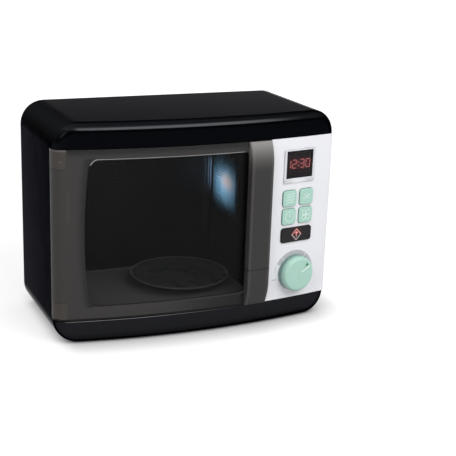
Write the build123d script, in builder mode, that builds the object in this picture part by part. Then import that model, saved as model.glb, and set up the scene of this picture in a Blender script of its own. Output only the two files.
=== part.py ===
"""Toy microwave oven: rounded case, smoked hinged door, control panel with keys and a click knob.

Frame: +X to the right seen from the front, +Y to the back, +Z up. The origin is the middle of the
flat underside. All sizes are in millimetres.
"""

import os
from math import asin, atan2, cos, degrees, pi, radians, sin, sqrt, tan

from build123d import *

# ---------------------------------------------------------------- case
width = 300.0
height = 222.0
depth = 147.0
bow = 16.0  # how far the middle of the front stands before its ends
corner_r = 24.5  # corners of the case seen from the front
band = 24.5  # height of the plain bands above and below the door
wall = 2.4
front_roll = 10.0  # rounding of the front edge
back_round = 5.0
rim_w = 14.0  # rear rim that carries the rear cover
rim_t = 5.0
shelf_depth = 46.0  # shelves above and below the door, from the front
wrap_depth = 28.0  # how far door and panel reach back along the sides

# ---------------------------------------------------------------- clearances
fit = 0.3  # between pieces that lie beside each other
slip = 0.1  # between pieces pushed into each other
run = 0.06  # radial, between a shaft and its bore
door_gap = 0.6  # round the door

# ---------------------------------------------------------------- door
door_t = 2.4
hinge_corner_r = 12.5  # front left corner, concentric with the hinge
wrap_turn = 8.0  # degrees that the door's edge goes on past the side of the case
pin_r = 2.0
pin_head_r = 3.6
pin_head_t = 1.2
pin_grip = 14.0  # length of each pin inside the door's hinge block
hinge_block_h = 18.0
swing_gap = 0.45  # round the hinge corner as it turns
trough_t = 1.8
column_w = 78.0  # of the control column, from the door to the right side
window_side = 34.0  # from the left side to the window's corners
window_bulge = 5.0  # how far the left edge curves out
window_foot = 14.5  # from the mouth's lower edge to the window
window_head = 10.0  # from the window to the mouth's upper edge
window_r = 9.0
window_recess = 0.9
window_lap = 4.0  # flange of the pane behind the door
pane_t = 1.2
handle_w = 26.0
handle_rise = 8.5
handle_end_rise = 2.6
handle_end = 24.0  # length of each curved end
handle_round = 2.2
handle_wall = 2.2
handle_lap = 3.0  # of the grip over the window's edge
handle_screw_offset = 55.0  # above and below the middle of the door
handle_post_r = 3.4
door_edge_depth = 6.3
door_edge_t = 1.4
peg_in = 5.0  # from the split to the middle of the peg
peg_w = 3.6
peg_h = 12.0
peg_tip_w = 2.6
peg_reach = 13.0  # behind the door's inner face
peg_plate_w = 5.0
peg_plate_h = 20.0
peg_plate_t = 1.2
peg_plate_r = 1.0
peg_taper = 4.0  # length of the peg's narrowing tip
spring_t = 0.5
spring_len = 9.5

# ---------------------------------------------------------------- cavity
frame_set = 7.5  # front frame behind the front surface
frame_t = 2.0
cavity_side = 32.0  # from the left side to the cavity
cavity_in = 10.0  # from the cavity to the split
cavity_foot = 5.5  # from the mouth's lower edge to the cavity
cavity_head = 9.5  # from the cavity to the mouth's upper edge
cavity_to_back = 13.0
cavity_corner_r = 8.0
liner_t = 1.8
mouth_r = 12.0
plate_r = 53.0
plate_side_gap = 5.0  # from the plate's edge to the cavity's right wall
plate_back_gap = 6.0  # from the plate's edge to the cavity's back
plate_flat_r = 37.0
plate_t = 2.0
plate_rise = 5.5
plate_lift = 5.0  # underside above the cavity's floor
spindle_r = 4.0
spindle_flange_r = 8.0
spindle_flange_t = 1.0
spindle_stem_r = 3.0
clip_t = 1.6
clip_r = 7.0
lens_back_gap = 9.0  # from the lamp's lens to the cavity's back
lens_head = 24.0  # from the lens to the cavity's top
lens_half_w = 33.0
lens_half_h = 34.0
lens_t = 1.6
lens_lap = 3.0  # flange behind the cavity's wall
lens_round = 7.0
lens_ridge = 0.5
ridge_w = 1.6
ridges = 15
ridge_half_w = 7.0  # of the smallest ridge
ridge_half_h = 10.5
ridge_step_w = 2.5  # from a ridge to the next one outside it
ridge_step_h = 3.0
ridges_back = 14.5  # of the ridges' middle from the lens's middle
ridges_down = 4.5

# ---------------------------------------------------------------- control panel
panel_t = 2.4
panel_corner_r = 7.0
panel_return = 10.5  # depth of the panel's edge beside the door
panel_flange = 14.0
screw_in = 18.0  # panel's screws from its ends
controls_in = 34.8  # from the split to the middle of the controls
gap_shares = (11.9, 7.6, 3.8, 9.7, 8.5)  # how the gaps share the column's free height, from the top
key_size = 17.0
key_r = 3.2
key_rise = 1.6
key_travel = 1.5
key_edge = 0.8
key_pitch_u = 20.8
key_pitch_v = 19.6
key_flange = 1.2
key_flange_t = 1.0
start_w = 38.0
start_h = 15.6
start_r = 3.0
start_travel = 1.2
symbol_w = 12.6
symbol_h = 13.0
symbol_line = 0.8
arrow_w = 4.6  # head of the arrow in the start key's sign
arrow_len = 5.6
arrow_rise = 2.0  # of the head above the key's middle
symbol_depth = 0.5
relief = 0.35  # height of the signs on the keys
relief_line = 0.9
star_span = 9.5
dial_r = 5.8
hand_long = 3.6
hand_short = 2.4
blade_r = 2.8
blade_reach = 3.6  # from the fan's hub to the middle of each blade
wave_span = 9.8
wave_rows = 4
wave_bends = 4
wave_pitch = 2.9
wave_swing = 0.7
bezel_w = 38.0
bezel_h = 35.6
bezel_foot = 5.0  # border below the display
bezel_brow = 2.0  # border above it
bezel_rise = 1.0
bezel_wall = 0.9  # of the part that goes through the panel
bezel_r = 1.2
bezel_edge = 0.4
display_w = 32.8
display_t = 1.0
digit_w = 5.7
digit_h = 9.3
digit_line = 0.9
digit_gap = 1.5
digit_t = 0.4
digits_right = 1.6  # of the row from the display's middle
colon_r = 0.65
colon_gap = 1.8  # of each dot above and below the middle
knob_r = 19.5
knob_front_r = 18.2
knob_rise = 11.0
knob_round = 3.2
knob_wall = 2.2
knob_stem_r = 4.0
knob_screw_head_r = 5.0
knob_turn = 41.0  # degrees, the pointer at rest
pointer_len = 13.5
pointer_w = 6.0  # at its outer end
pointer_r = 0.6
ring_r = 24.2
ring_inner_r = 20.2
ring_t = 0.35
ring_start = 8.0  # degrees
ring_end = 172.0
ring_marks = (52.0, 131.0)
tick_w = 0.9
ratchet_r = 11.0
ratchet_teeth = 24
ratchet_tooth = 1.2
ratchet_t = 3.0
click_t = 0.8
click_gap = 0.35
click_nib = 1.0
click_post_gap = 2.2  # between the ratchet wheel and the spring's post
click_post_drop = 15.0  # of the post below the knob's axis
ratchet_back = 7.6  # rear face behind the front surface

# ---------------------------------------------------------------- electronics
board_t = 1.6
board_set = 8.2  # board's front face behind the front surface
board_w = 54.0
board_head = 5.1  # from the board to the mouth's upper edge
board_foot = 19.2  # of the board below the middle of the start key
keypad_t = 1.0
keypad_w = 34.0
dome_r = 4.0
dome_slope = 15.0
post_r = 3.0
post_u = 20.5
post_foot = 5.0  # from the board's lower edge to its posts
post_head = 4.4  # from its posts to its upper edge
screw_r = 1.3
screw_head_r = 2.7
screw_head_t = 1.5
chip_t = 2.0
chip_w = 12.0
chip_h = 9.0
small_chip_w = 5.0
small_chip_h = 14.0
board_corner_r = 2.0
lamp_board_t = 1.6
reflector_deep = 10.0
reflector_t = 1.4
lamp_board_w = 20.0
lamp_board_h = 24.0
led_r = 2.5
led_round = 2.25
led_len = 5.0
lamp_up = 2.5  # above the middle of the lens
lamp_forward = 3.5  # in front of it

# ---------------------------------------------------------------- rear
cover_t = 2.4
cover_inset = 6.0
cover_screw_inset = 10.0
cover_screw_r = 1.5
cover_screw_head_r = 2.9
cover_screw_len = 12.0
sink_angle = 82.0
boss_r = 4.0
boss_len = 12.0
vent_count = 9
vent_w = 60.0
vent_h = 2.4
vent_pitch = 6.0
vent_x = -40.0
vent_z = 120.0
box_in = 47.0  # from the right side to the middle of the battery box
box_z = 52.0
box_w = 60.0
box_h = 58.0
box_deep = 18.0
box_wall = 1.8
cell_r = 7.1
cell_len = 49.2
cell_nub_r = 2.7
cell_nub = 1.3
cell_pitch = 15.6
cell_count = 3
contact_t = 0.4
contact_size = 10.8
box_post_r = 3.6
box_screw_in = 4.8  # from the top of the battery box's room
grip_w = 24.0
grip_pitch = 2.4
grip_count = 5
grip_depth = 0.7
speaker_r = 20.0
speaker_z = 150.0
speaker_rim_t = 3.0
speaker_cap_r = 6.5
speaker_cap_t = 0.8
magnet_r = 9.5
magnet_t = 6.0
grille_count = 5
grille_pitch = 6.0
grille_h = 2.0
grille_w = 30.0
switch_z = 102.0
switch_travel = 4.0
nub_w = 6.0
nub_h = 4.4
slider_w = 12.0
slider_h = 8.4
slider_t = 1.4
switch_w = 26.0
switch_h = 12.0
switch_t = 7.0
wire_r = 0.7

# ---------------------------------------------------------------- worked out from the sizes above
front_y = -depth / 2
back_y = depth / 2
bow_r = ((width / 2) ** 2 + bow**2) / (2 * bow)
bow_y = front_y + bow_r  # centre of the bowed front seen from above
mouth_low = band
mouth_high = height - band
split_x = width / 2 - column_w  # between the door and the control panel
door_low = mouth_low + door_gap
door_high = mouth_high - door_gap
door_right = split_x - door_gap
window_right = split_x - handle_w + handle_lap
hinge_x = -width / 2 + hinge_corner_r
hinge_y = bow_y - sqrt((bow_r - hinge_corner_r) ** 2 - hinge_x**2)
panel_corner_x = width / 2 - panel_corner_r
panel_corner_y = bow_y - sqrt((bow_r - panel_corner_r) ** 2 - panel_corner_x**2)
panel_low = mouth_low + fit
panel_high = mouth_high - fit
swing_r = hinge_corner_r + swing_gap
handle_x = split_x - handle_w / 2
peg_x = split_x - peg_in
window_left = -width / 2 + window_side
window_bottom = mouth_low + window_foot
window_top = mouth_high - window_head
cavity_left = -width / 2 + cavity_side
cavity_right = split_x - cavity_in
cavity_floor = mouth_low + cavity_foot
cavity_top = mouth_high - cavity_head
cavity_back_y = back_y - cavity_to_back
plate_x = cavity_right - plate_side_gap - plate_r
plate_y = cavity_back_y - plate_back_gap - plate_r
lens_y = cavity_back_y - lens_back_gap - lens_half_w
lens_z = cavity_top - lens_head - lens_half_h
lamp_y = lens_y - lamp_forward
lamp_z = lens_z + lamp_up
cover_y = back_y - cover_t  # inner face of the rear cover
box_x = width / 2 - box_in
column_signs = (-1, 1)

# The control column from the top: bezel, two rows of keys, start key, and the knob in its scale.
column_x = split_x + controls_in
key_rows_h = key_pitch_v + key_size
column_free = mouth_high - mouth_low - bezel_h - key_rows_h - start_h - ring_r - knob_r
gap_unit = column_free / sum(gap_shares)
bezel_top = mouth_high - gap_shares[0] * gap_unit
bezel_bottom = bezel_top - bezel_h
display_bottom = bezel_bottom + bezel_foot
display_top = bezel_top - bezel_brow
display_mid = (display_bottom + display_top) / 2
display_h = display_top - display_bottom
keys_v = bezel_bottom - gap_shares[1] * gap_unit - key_rows_h / 2
start_v = keys_v - key_rows_h / 2 - gap_shares[2] * gap_unit - start_h / 2
knob_v = mouth_low + gap_shares[4] * gap_unit + knob_r
board_top = mouth_high - board_head
board_bottom = start_v - board_foot


def bow_angle(x, radius):
    """Direction from the bow's centre to the point at x on a circle of that radius, in degrees."""
    return 270 + degrees(asin(x / radius))


def front_at(x, set_back=0.0):
    """Depth of the bowed front at x, or of the surface that lies set back behind it."""
    return bow_y - sqrt((bow_r - set_back) ** 2 - x**2)


def surface_plane(x, out=0.0):
    """Plane that touches the bowed front at x, facing outwards, with its own +Y up."""
    turn = asin(x / bow_r)
    plane = Plane(
        origin=(x, front_at(x), 0),
        x_dir=(cos(turn), sin(turn), 0),
        z_dir=(sin(turn), -cos(turn), 0),
    )
    return plane.offset(out)


def control_plane(out=0.0):
    return surface_plane(column_x, out)


def outline(inset, y):
    """The case's rounded outline seen from the front, inset all round, at depth y."""
    with BuildSketch(Plane.XZ.offset(-y)) as drawn:
        with Locations((0, height / 2)):
            RectangleRounded(width - 2 * inset, height - 2 * inset, corner_r - inset)
    return drawn.sketch


def behind_front(set_back):
    """Everything behind the bowed front, or behind the surface set back from it, seen from above."""
    with BuildSketch(Plane.XY) as drawn:
        with Locations((0, bow_y)):
            Circle(bow_r - set_back)
    return drawn.sketch


def bowed_strip(x_from, x_to, set_back, thickness, z):
    """A strip that follows the bowed front, seen from above, between two places on it."""
    outer, inner = bow_r - set_back, bow_r - set_back - thickness
    with BuildSketch(Plane.XY.offset(z)) as drawn:
        with BuildLine():
            start, end = bow_angle(x_from, outer), bow_angle(x_to, outer)
            front = CenterArc((0, bow_y), outer, start, end - start)
            back = CenterArc((0, bow_y), inner, start, end - start)
            Line(front @ 0, back @ 0)
            Line(front @ 1, back @ 1)
        make_face()
    return drawn.sketch


def block(x, y, z, mode=Mode.ADD):
    """A box between two limits on each axis, in the part being built."""
    with Locations(((x[0] + x[1]) / 2, (y[0] + y[1]) / 2, (z[0] + z[1]) / 2)):
        Box(x[1] - x[0], y[1] - y[0], z[1] - z[0], mode=mode)


def save(part, name):
    part.label = name
    export_step(part, f"parts/{name}.step")


os.makedirs("parts", exist_ok=True)

# ---------------------------------------------------------------- case
with BuildPart() as case_form:
    extrude(outline(0, back_y), amount=depth)
    extrude(behind_front(0), amount=height, mode=Mode.INTERSECT)
    fillet(case_form.faces().sort_by(Axis.Y)[0].edges(), front_roll)
    fillet(case_form.faces().sort_by(Axis.Y)[-1].edges(), back_round)

with BuildPart() as case_hollow:
    extrude(outline(wall, back_y - rim_t), amount=depth)
    extrude(behind_front(wall), amount=height, mode=Mode.INTERSECT)
    fillet(case_hollow.faces().sort_by(Axis.Y)[0].edges(), front_roll - wall)

with BuildPart() as shelves:
    add(case_form.part)
    with BuildSketch(Plane.YZ) as shelf_section:
        for low in (mouth_low - wall, mouth_high):
            with Locations((front_y, low)):
                Rectangle(shelf_depth, wall, align=Align.MIN)
    extrude(amount=width, both=True, mode=Mode.INTERSECT)

shelf_screw_points = [
    (x, front_at(x) + panel_flange - 2 * screw_head_r)
    for x in (split_x + screw_in, width / 2 - screw_in)
]
corner_in = corner_r - (corner_r - cover_screw_inset) / sqrt(2)
cover_screw_points = [
    (side * (width / 2 - corner_in), z)
    for side in column_signs
    for z in (corner_in, height - corner_in)
] + [(0, cover_screw_inset), (0, height - cover_screw_inset)]

with BuildPart() as case_shell:
    add(case_form.part)
    add(case_hollow.part, mode=Mode.SUBTRACT)
    extrude(outline(rim_w, back_y), amount=rim_t, mode=Mode.SUBTRACT)
    with BuildSketch(Plane.XZ.offset(-(back_y - rim_t))) as boss_section:
        with Locations(*cover_screw_points):
            Circle(boss_r)
    extrude(amount=boss_len)
    extrude(outline(cover_inset, back_y), amount=cover_t, mode=Mode.SUBTRACT)
    add(shelves.part)
    block(
        (-width, width),
        (front_y - wall, front_y + wrap_depth + fit),
        (mouth_low, mouth_high),
        mode=Mode.SUBTRACT,
    )
    with BuildSketch(Plane.XY.offset(mouth_low)) as hinge_room:
        with Locations((hinge_x, hinge_y)):
            Circle(swing_r)
    extrude(amount=mouth_high - mouth_low, mode=Mode.SUBTRACT)
    with BuildSketch(Plane.XY.offset(mouth_low - wall)) as pin_holes:
        with Locations((hinge_x, hinge_y)):
            Circle(pin_r)
    extrude(amount=height - 2 * (mouth_low - wall), mode=Mode.SUBTRACT)
    with BuildSketch(Plane.XY.offset(mouth_low - wall)) as panel_screw_holes:
        with Locations(*shelf_screw_points):
            Circle(screw_r + run)
    extrude(amount=height - 2 * (mouth_low - wall), mode=Mode.SUBTRACT)
    with BuildSketch(Plane.XZ.offset(-cover_y)) as pilot_holes:
        with Locations(*cover_screw_points):
            Circle(cover_screw_r + run)
    extrude(amount=boss_len, mode=Mode.SUBTRACT)
save(case_shell.part, "case_shell")

# ---------------------------------------------------------------- front frame and cavity
trough_r = swing_r + fit
side_wall_in = -width / 2 + wall
trough_end = degrees(atan2(sqrt(trough_r**2 - (side_wall_in - hinge_x) ** 2), side_wall_in - hinge_x))
trough_x = hinge_x + trough_r
frame_back = frame_set + frame_t
frame_low = mouth_low + slip
frame_high = mouth_high - slip
peg_slot_w = peg_w + 4 * fit
peg_slot_h = peg_h + 2 * fit

with BuildPart() as front_frame:
    frame_plan = bowed_strip(trough_x, split_x, frame_set, frame_t, frame_low)
    extrude(frame_plan, amount=frame_high - frame_low)
    with BuildSketch(Plane.XY.offset(frame_low)) as trough:
        with BuildLine():
            inner = CenterArc((hinge_x, hinge_y), trough_r, 0, trough_end)
            outer = CenterArc((hinge_x, hinge_y), trough_r + trough_t, 0, trough_end)
            Line(inner @ 0, outer @ 0)
            Line(inner @ 1, outer @ 1)
        make_face()
    extrude(amount=frame_high - frame_low)
    block(
        (trough_x, trough_x + trough_t),
        (front_at(trough_x, frame_set), hinge_y),
        (frame_low, frame_high),
    )
    block(
        (-width, side_wall_in),
        (front_y, back_y),
        (frame_low, frame_high),
        mode=Mode.SUBTRACT,
    )
    with BuildSketch(Plane.XZ.offset(-front_y)) as mouth:
        with Locations(((cavity_left + cavity_right) / 2, (cavity_floor + cavity_top) / 2)):
            RectangleRounded(cavity_right - cavity_left, cavity_top - cavity_floor, mouth_r)
    extrude(amount=-depth / 2, mode=Mode.SUBTRACT)
    block(
        (peg_x - peg_slot_w / 2, peg_x + peg_slot_w / 2),
        (front_y, cavity_back_y),
        (height / 2 - peg_slot_h / 2, height / 2 + peg_slot_h / 2),
        mode=Mode.SUBTRACT,
    )
save(front_frame.part, "front_frame")


def cavity_form(out, z_low, z_high):
    """The cavity's room grown by a wall, with round corners at its back, between two heights."""
    left, right, back = cavity_left - out, cavity_right + out, cavity_back_y + out
    with BuildPart() as form:
        with BuildSketch(Plane.XY.offset(z_low)) as plan:
            with Locations(((left + right) / 2, (front_y + back) / 2)):
                Rectangle(right - left, back - front_y)
            fillet(plan.vertices().group_by(Axis.Y)[-1], cavity_corner_r + out)
        extrude(amount=z_high - z_low)
    return form.part


def lens_plane(x):
    """Plane on the cavity's right wall, facing the cavity, centred on the lens."""
    return Plane(origin=(x, lens_y, lens_z), x_dir=(0, -1, 0), z_dir=(-1, 0, 0))


def lens_outline(grow, plane):
    """The lens's outline with round corners, grown by a width."""
    with BuildSketch(plane) as drawn:
        RectangleRounded(2 * (lens_half_w + grow), 2 * (lens_half_h + grow), lens_round + grow)
    return drawn.sketch


lens_seat_x = cavity_right + liner_t + slip
with BuildPart() as cavity_liner:
    add(cavity_form(liner_t, cavity_floor - liner_t, cavity_top + liner_t))
    add(cavity_form(0, cavity_floor, cavity_top), mode=Mode.SUBTRACT)
    extrude(behind_front(frame_back + slip), amount=height, mode=Mode.INTERSECT)
    extrude(lens_outline(slip, lens_plane(cavity_right)), amount=-liner_t, mode=Mode.SUBTRACT)
    with Locations((plate_x, plate_y, cavity_floor - liner_t / 2)):
        Cylinder(spindle_stem_r + slip, liner_t, mode=Mode.SUBTRACT)
save(cavity_liner.part, "cavity_liner")

with BuildPart() as lamp_lens:
    extrude(lens_outline(0, lens_plane(lens_seat_x)), amount=lens_seat_x - cavity_right)
    extrude(lens_outline(lens_lap, lens_plane(lens_seat_x)), amount=-lens_t)
    with BuildSketch(lens_plane(cavity_right)) as ridge_lines:
        with Locations((-ridges_back, -ridges_down)):
            for ridge in reversed(range(ridges)):
                half_w = ridge_half_w + ridge * ridge_step_w
                half_h = ridge_half_h + ridge * ridge_step_h
                Rectangle(2 * half_w, 2 * half_h)
                Rectangle(2 * (half_w - ridge_w), 2 * (half_h - ridge_w), mode=Mode.SUBTRACT)
        add(lens_outline(-ridge_w, Plane.XY), mode=Mode.INTERSECT)
    extrude(amount=lens_ridge)
save(lamp_lens.part, "lamp_lens")

# ---------------------------------------------------------------- turntable
plate_low = cavity_floor + plate_lift
plate_top = plate_low + plate_t
hub_r = spindle_r + 3 * plate_t / 2
hub_low = cavity_floor + spindle_flange_t + fit
spindle_top = plate_low - fit

with BuildPart() as turntable:
    with BuildSketch(Plane.XZ) as plate_section:
        with BuildLine():
            Polyline(
                (0, plate_low),
                (plate_flat_r, plate_low),
                (plate_r - plate_t, plate_low + plate_rise - plate_t / 2),
                (plate_r, plate_low + plate_rise),
                (plate_r - plate_t / 2, plate_top + plate_rise - plate_t / 2),
                (plate_flat_r + plate_t, plate_top),
                (0, plate_top),
                close=True,
            )
        make_face()
    revolve(axis=Axis.Z)
    with BuildSketch(Plane.XY.offset(hub_low)) as hub_section:
        Circle(hub_r)
        Circle(spindle_r + run, mode=Mode.SUBTRACT)
    extrude(amount=plate_low - hub_low)
turntable_part = turntable.part.moved(Location((plate_x, plate_y, 0)))
save(turntable_part, "turntable")

with BuildPart() as turntable_spindle:
    with BuildSketch(Plane.XY.offset(cavity_floor - liner_t - 2 * clip_t)) as stem:
        with Locations((plate_x, plate_y)):
            Circle(spindle_stem_r)
    extrude(amount=liner_t + 2 * clip_t)
    with BuildSketch(Plane.XY.offset(cavity_floor)) as shaft:
        with Locations((plate_x, plate_y)):
            Circle(spindle_r)
    extrude(amount=spindle_top - cavity_floor)
    with BuildSketch(Plane.XY.offset(cavity_floor)) as flange:
        with Locations((plate_x, plate_y)):
            Circle(spindle_flange_r)
    extrude(amount=spindle_flange_t)
save(turntable_spindle.part, "turntable_spindle")

with BuildPart() as spindle_clip:
    with BuildSketch(Plane.XY.offset(cavity_floor - liner_t - clip_t)) as clip_section:
        with Locations((plate_x, plate_y)):
            Circle(clip_r)
            Circle(spindle_stem_r + run, mode=Mode.SUBTRACT)
        with Locations((plate_x + spindle_flange_r, plate_y)):
            Rectangle(2 * spindle_flange_r, spindle_stem_r, mode=Mode.SUBTRACT)
    extrude(amount=clip_t)
save(spindle_clip.part, "spindle_clip")

# ---------------------------------------------------------------- door
tangent_angle = degrees(atan2(hinge_y - bow_y, hinge_x)) % 360
wrap_angle = 180 - wrap_turn


def window_outline(grow):
    """The window seen from the front, its left edge curved outwards, grown all round."""
    left, right = window_left - grow, window_right + grow
    low, high = window_bottom - grow, window_top + grow
    middle = (low + high) / 2
    with BuildSketch(Plane.XZ.offset(-front_y + 1)) as drawn:
        with BuildLine():
            Line((left, low), (right, low))
            Line((right, low), (right, high))
            Line((right, high), (left, high))
            ThreePointArc((left, high), (left - window_bulge, middle), (left, low))
        make_face()
        fillet(drawn.vertices(), window_r + grow)
    return drawn.sketch


def handle_bulk(inset):
    """The grip, thinned by a wall: a bar that stands out of the door with curved ends."""
    half, rise = (handle_w - door_gap) / 2 - inset, handle_rise - inset
    low, high = door_low + inset, door_high - inset
    end_rise = handle_end_rise - inset / 2
    seat = surface_plane(handle_x)
    side = Plane(origin=seat.origin, x_dir=(0, 0, 1), z_dir=seat.x_dir)
    with BuildPart() as bulk:
        with BuildSketch(side) as profile:
            with BuildLine():
                Line((low, -2 * door_t), (low, end_rise))
                TangentArc((low + handle_end, rise), (low, end_rise), tangent=(-1, 0))
                Line((low + handle_end, rise), (high - handle_end, rise))
                TangentArc((high - handle_end, rise), (high, end_rise), tangent=(1, 0))
                Line((high, end_rise), (high, -2 * door_t))
                Line((high, -2 * door_t), (low, -2 * door_t))
            make_face()
        extrude(amount=half, both=True)
    return bulk.part


handle_screw_points = [(0, height / 2 + sign * handle_screw_offset) for sign in column_signs]

with BuildPart() as door_panel:
    with BuildSketch(Plane.XY.offset(door_low)) as door_plan:
        with BuildLine():
            right_out = bow_angle(door_right, bow_r)
            right_in = bow_angle(door_right, bow_r - door_t)
            front = CenterArc((0, bow_y), bow_r, tangent_angle, right_out - tangent_angle)
            back = CenterArc((0, bow_y), bow_r - door_t, tangent_angle, right_in - tangent_angle)
            corner_turn = wrap_angle - tangent_angle
            outer = CenterArc((hinge_x, hinge_y), hinge_corner_r, tangent_angle, corner_turn)
            inner = CenterArc((hinge_x, hinge_y), hinge_corner_r - door_t, tangent_angle, corner_turn)
            Line(front @ 1, back @ 1)
            Line(outer @ 1, inner @ 1)
        make_face()
    extrude(amount=door_high - door_low)
    extrude(window_outline(0), amount=-depth / 2, mode=Mode.SUBTRACT)
    block(
        (door_right - door_edge_t, door_right),
        (front_at(door_right) + door_t / 2, front_at(door_right) + door_edge_depth),
        (door_low, door_high),
    )
    for low in (door_low, door_high - hinge_block_h):
        with BuildSketch(Plane.XY.offset(low)) as knuckle:
            with Locations((hinge_x, hinge_y)):
                Circle(hinge_corner_r - door_t / 2)
            with Locations((hinge_x + hinge_corner_r, hinge_y)):
                Rectangle(2 * (hinge_corner_r - 2 * pin_r), 4 * hinge_corner_r, mode=Mode.SUBTRACT)
            with Locations((hinge_x, hinge_y + hinge_corner_r)):
                Rectangle(4 * hinge_corner_r, 2 * (hinge_corner_r - 2 * pin_r), mode=Mode.SUBTRACT)
        extrude(amount=hinge_block_h)
    for low in (door_low, door_high - pin_grip - fit):
        with Locations((hinge_x, hinge_y, low + (pin_grip + fit) / 2)):
            Cylinder(pin_r + run, pin_grip + fit, mode=Mode.SUBTRACT)
    with BuildSketch(surface_plane(handle_x)) as screw_holes:
        with Locations(*handle_screw_points):
            Circle(screw_r + slip)
    extrude(amount=2 * door_t, both=True, mode=Mode.SUBTRACT)
save(door_panel.part, "door_panel")


def pane_layer(grow, front, back):
    """A layer of the pane that follows the bowed front between two depths behind it."""
    with BuildPart() as layer:
        extrude(window_outline(grow), amount=-depth / 2)
        extrude(behind_front(front), amount=height, mode=Mode.INTERSECT)
        extrude(behind_front(back), amount=height, mode=Mode.SUBTRACT)
    return layer.part


pane_seat = door_t + slip
with BuildPart() as door_window:
    add(pane_layer(-slip, window_recess, pane_seat))
    add(pane_layer(window_lap, pane_seat, pane_seat + pane_t))
save(door_window.part, "door_window")

with BuildPart() as door_handle:
    add(handle_bulk(0))
    seat = surface_plane(handle_x)
    rails = [
        edge
        for edge in door_handle.edges()
        if abs(seat.to_local_coords(edge.center()).X) > handle_round
        and seat.to_local_coords(edge.center()).Z > handle_end_rise
    ]
    fillet(rails, handle_round)
    add(handle_bulk(handle_wall), mode=Mode.SUBTRACT)
    with BuildSketch(surface_plane(handle_x)) as posts:
        with Locations(*handle_screw_points):
            Circle(handle_post_r)
    extrude(amount=handle_rise - handle_wall / 2)
    with BuildSketch(surface_plane(handle_x)) as post_holes:
        with Locations(*handle_screw_points):
            Circle(screw_r + run)
    extrude(amount=handle_rise - handle_wall, mode=Mode.SUBTRACT)
    extrude(behind_front(-slip / 2), amount=height, mode=Mode.SUBTRACT)
save(door_handle.part, "door_handle")

with BuildPart() as handle_screws:
    with BuildSketch(surface_plane(handle_x, -door_t - slip)) as screw_heads:
        with Locations(*handle_screw_points):
            Circle(screw_head_r)
    extrude(amount=-screw_head_t)
    with BuildSketch(surface_plane(handle_x, -door_t - slip)) as screw_shanks:
        with Locations(*handle_screw_points):
            Circle(screw_r)
    extrude(amount=door_t + handle_rise - 2 * handle_wall)
save(handle_screws.part, "handle_screws")


def hinge_pin(name, tip, head_at, direction):
    """A pin on the hinge's axis, from its tip inside the door to a head on the far side of a shelf."""
    with BuildPart() as pin:
        with BuildSketch(Plane.XY.offset(tip)) as shank:
            with Locations((hinge_x, hinge_y)):
                Circle(pin_r - slip / 4)
        extrude(amount=head_at - tip)
        with BuildSketch(Plane.XY.offset(head_at)) as head:
            with Locations((hinge_x, hinge_y)):
                Circle(pin_head_r)
        extrude(amount=direction * pin_head_t)
    save(pin.part, name)


hinge_pin("hinge_pin_upper", door_high - pin_grip, mouth_high + wall, 1)
hinge_pin("hinge_pin_lower", door_low + pin_grip, mouth_low - wall, -1)

peg_plane = surface_plane(peg_x, -door_t - slip)
with BuildPart() as door_catch:
    with BuildSketch(peg_plane) as catch_plate:
        with Locations((0, height / 2)):
            RectangleRounded(peg_plate_w, peg_plate_h, peg_plate_r)
    extrude(amount=-peg_plate_t)
    with BuildSketch(Plane(origin=peg_plane.origin, x_dir=(1, 0, 0), z_dir=(0, 0, 1))) as peg_plan:
        with BuildLine():
            Polyline(
                (-peg_w / 2, peg_plate_t / 2),
                (peg_w / 2, peg_plate_t / 2),
                (peg_w / 2, peg_reach - peg_taper),
                (peg_tip_w / 2, peg_reach),
                (-peg_tip_w / 2, peg_reach),
                (-peg_w / 2, peg_reach - peg_taper),
                close=True,
            )
        make_face()
    extrude(amount=height / 2 + peg_h / 2)
    extrude(peg_plan.sketch, amount=height / 2 - peg_h / 2, mode=Mode.SUBTRACT)
save(door_catch.part, "door_catch")

# The catch's spring: two leaves beside the peg, held behind the front frame.
with BuildPart() as catch_spring:
    leaf_in = peg_slot_w / 2
    spring_low = height / 2 - peg_h / 2
    spring_front = front_at(split_x, frame_back) + slip
    for side in column_signs:
        block(
            sorted((peg_x + side * leaf_in, peg_x + side * (leaf_in + spring_t))),
            (spring_front, spring_front + spring_len),
            (spring_low, spring_low + peg_h),
        )
    block(
        (peg_x - leaf_in - spring_t, peg_x + leaf_in + spring_t),
        (spring_front + spring_len - spring_t, spring_front + spring_len),
        (spring_low, spring_low + peg_h),
    )
save(catch_spring.part, "catch_spring")

# ---------------------------------------------------------------- control panel
panel_left = split_x + fit
panel_tangent = degrees(atan2(panel_corner_y - bow_y, panel_corner_x)) % 360
panel_end_y = front_y + wrap_depth
key_top = key_rise
key_flange_front = panel_t + 2 * fit
key_flange_back = key_flange_front + key_flange_t
key_places = [
    (side * key_pitch_u / 2, keys_v + row * key_pitch_v / 2) for row in (1, -1) for side in (-1, 1)
]
post_levels = (board_bottom + post_foot, board_top - post_head)
post_places = [(side * post_u, v) for side in column_signs for v in post_levels]
click_post = (ratchet_r + click_post_gap + post_r, knob_v - click_post_drop)


def knob_plane(out=0.0):
    """Plane across the knob's axis, facing outwards, centred on the knob."""
    plane = control_plane(out)
    return Plane(origin=plane.origin + Vector(0, 0, knob_v), x_dir=plane.x_dir, z_dir=plane.z_dir)


def flange_strip(z):
    """Plan of the panel's upper or lower flange, from its back skin towards the shelf's screws."""
    left = panel_left + panel_t
    return bowed_strip(left, panel_corner_x, panel_t / 2, panel_flange - panel_t / 2, z)


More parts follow.
